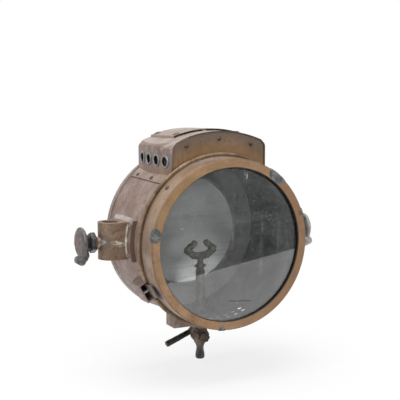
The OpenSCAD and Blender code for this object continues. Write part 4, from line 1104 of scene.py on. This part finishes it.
def make_floor():
    """A pale floor that takes a soft shadow under the lamp and is plain white further out."""
    t = Tree("floor_pale")
    far = t.span(t.length(t.x, t.y), 0.10, 0.28, 0.74, 1.0)
    matt = t.node("BsdfDiffuse", Color=(0.92, 0.92, 0.92, 1.0))
    mat = t.done(t.blend(t.times(far, seen_rays(t.nt)), matt, t.node("Emission", Color=WHITE)))
    corners = ((-1, -1), (1, -1), (1, 1), (-1, 1))
    sheet("floor", [(x * FLOOR_HALF, y * FLOOR_HALF, FLOOR_Z) for x, y in corners], mat)


def make_card():
    """Dark studio card beyond the table's edge, for the glass and the metal to reflect."""
    t = Tree("card_dark")
    mat = t.done(t.node("BsdfDiffuse", Color=(0.02, 0.02, 0.02, 1.0)))
    along = (CARD_FAR - CARD_NEAR).normalized()
    p, q = CARD_NEAR - along * CARD_BEFORE, CARD_FAR + along * CARD_BEYOND
    ob = sheet("card", [p, q, q + CARD_HEIGHT, p + CARD_HEIGHT], mat)
    ob.visible_camera = False
    ob.visible_diffuse = False
    ob.visible_shadow = False
    ob.visible_transmission = False


# Light and camera

def make_world():
    """Soft light on the part, while the camera, metal and glass see plain white."""
    world = bpy.data.worlds.new("studio")
    bpy.context.scene.world = world
    world.use_nodes = True
    nt = world.node_tree
    nt.nodes.clear()
    mixer = nt.nodes.new("ShaderNodeMixShader")
    nt.links.new(seen_rays(nt), mixer.inputs[0])
    for i, colour, strength in ((1, (0.97, 0.98, 1.0, 1.0), 0.55), (2, WHITE, 1.0)):
        sky = nt.nodes.new("ShaderNodeBackground")
        sky.inputs[0].default_value = colour
        sky.inputs[1].default_value = strength
        nt.links.new(sky.outputs[0], mixer.inputs[i])
    nt.links.new(mixer.outputs[0], nt.nodes.new("ShaderNodeOutputWorld").inputs[0])


def area_light(name, at, size, watts):
    """A round light that faces the middle of the drum."""
    lamp = bpy.data.lights.new(name, "AREA")
    lamp.shape = "DISK"
    lamp.size = size
    lamp.energy = watts
    ob = add_object(name, lamp)
    ob.location = at
    ob.rotation_euler = (-Vector(at)).to_track_quat("-Z", "Y").to_euler()


def make_camera():
    """The camera that was fitted to the photo, aimed at the middle of the door's ring."""
    distance, roll = 1.2, math.radians(0.5)
    cam = bpy.data.cameras.new("camera")
    cam.lens = 94.1
    cam.sensor_width = 36.0
    cam.sensor_fit = "HORIZONTAL"
    cam.shift_x = -0.0798
    cam.shift_y = 0.11375
    cam.clip_start = 0.05
    cam.clip_end = 50.0
    right = Vector((0.8817, -0.4718, 0.0))
    back = Vector((-0.4643, -0.8676, 0.1773)).normalized()
    up = back.cross(right).normalized()
    right = up.cross(back)
    ob = add_object("camera", cam)
    turn = Matrix((right, up, back)).transposed().to_4x4() @ Matrix.Rotation(roll, 4, "Z")
    ob.matrix_world = Matrix.Translation(Vector((0.0, RING_FACE_Y * MM, 0.0)) + back * distance) @ turn
    bpy.context.scene.camera = ob


make_floor()
make_card()
make_world()
area_light("top_light", (-0.25, -0.15, 1.6), 1.3, 16.0)
area_light("left_light", (-1.5, -1.0, 0.8), 1.0, 10.0)
area_light("front_light", (0.5, -1.9, 0.6), 1.0, 6.0)
make_camera()
bpy.context.scene.view_settings.view_transform = "Standard"
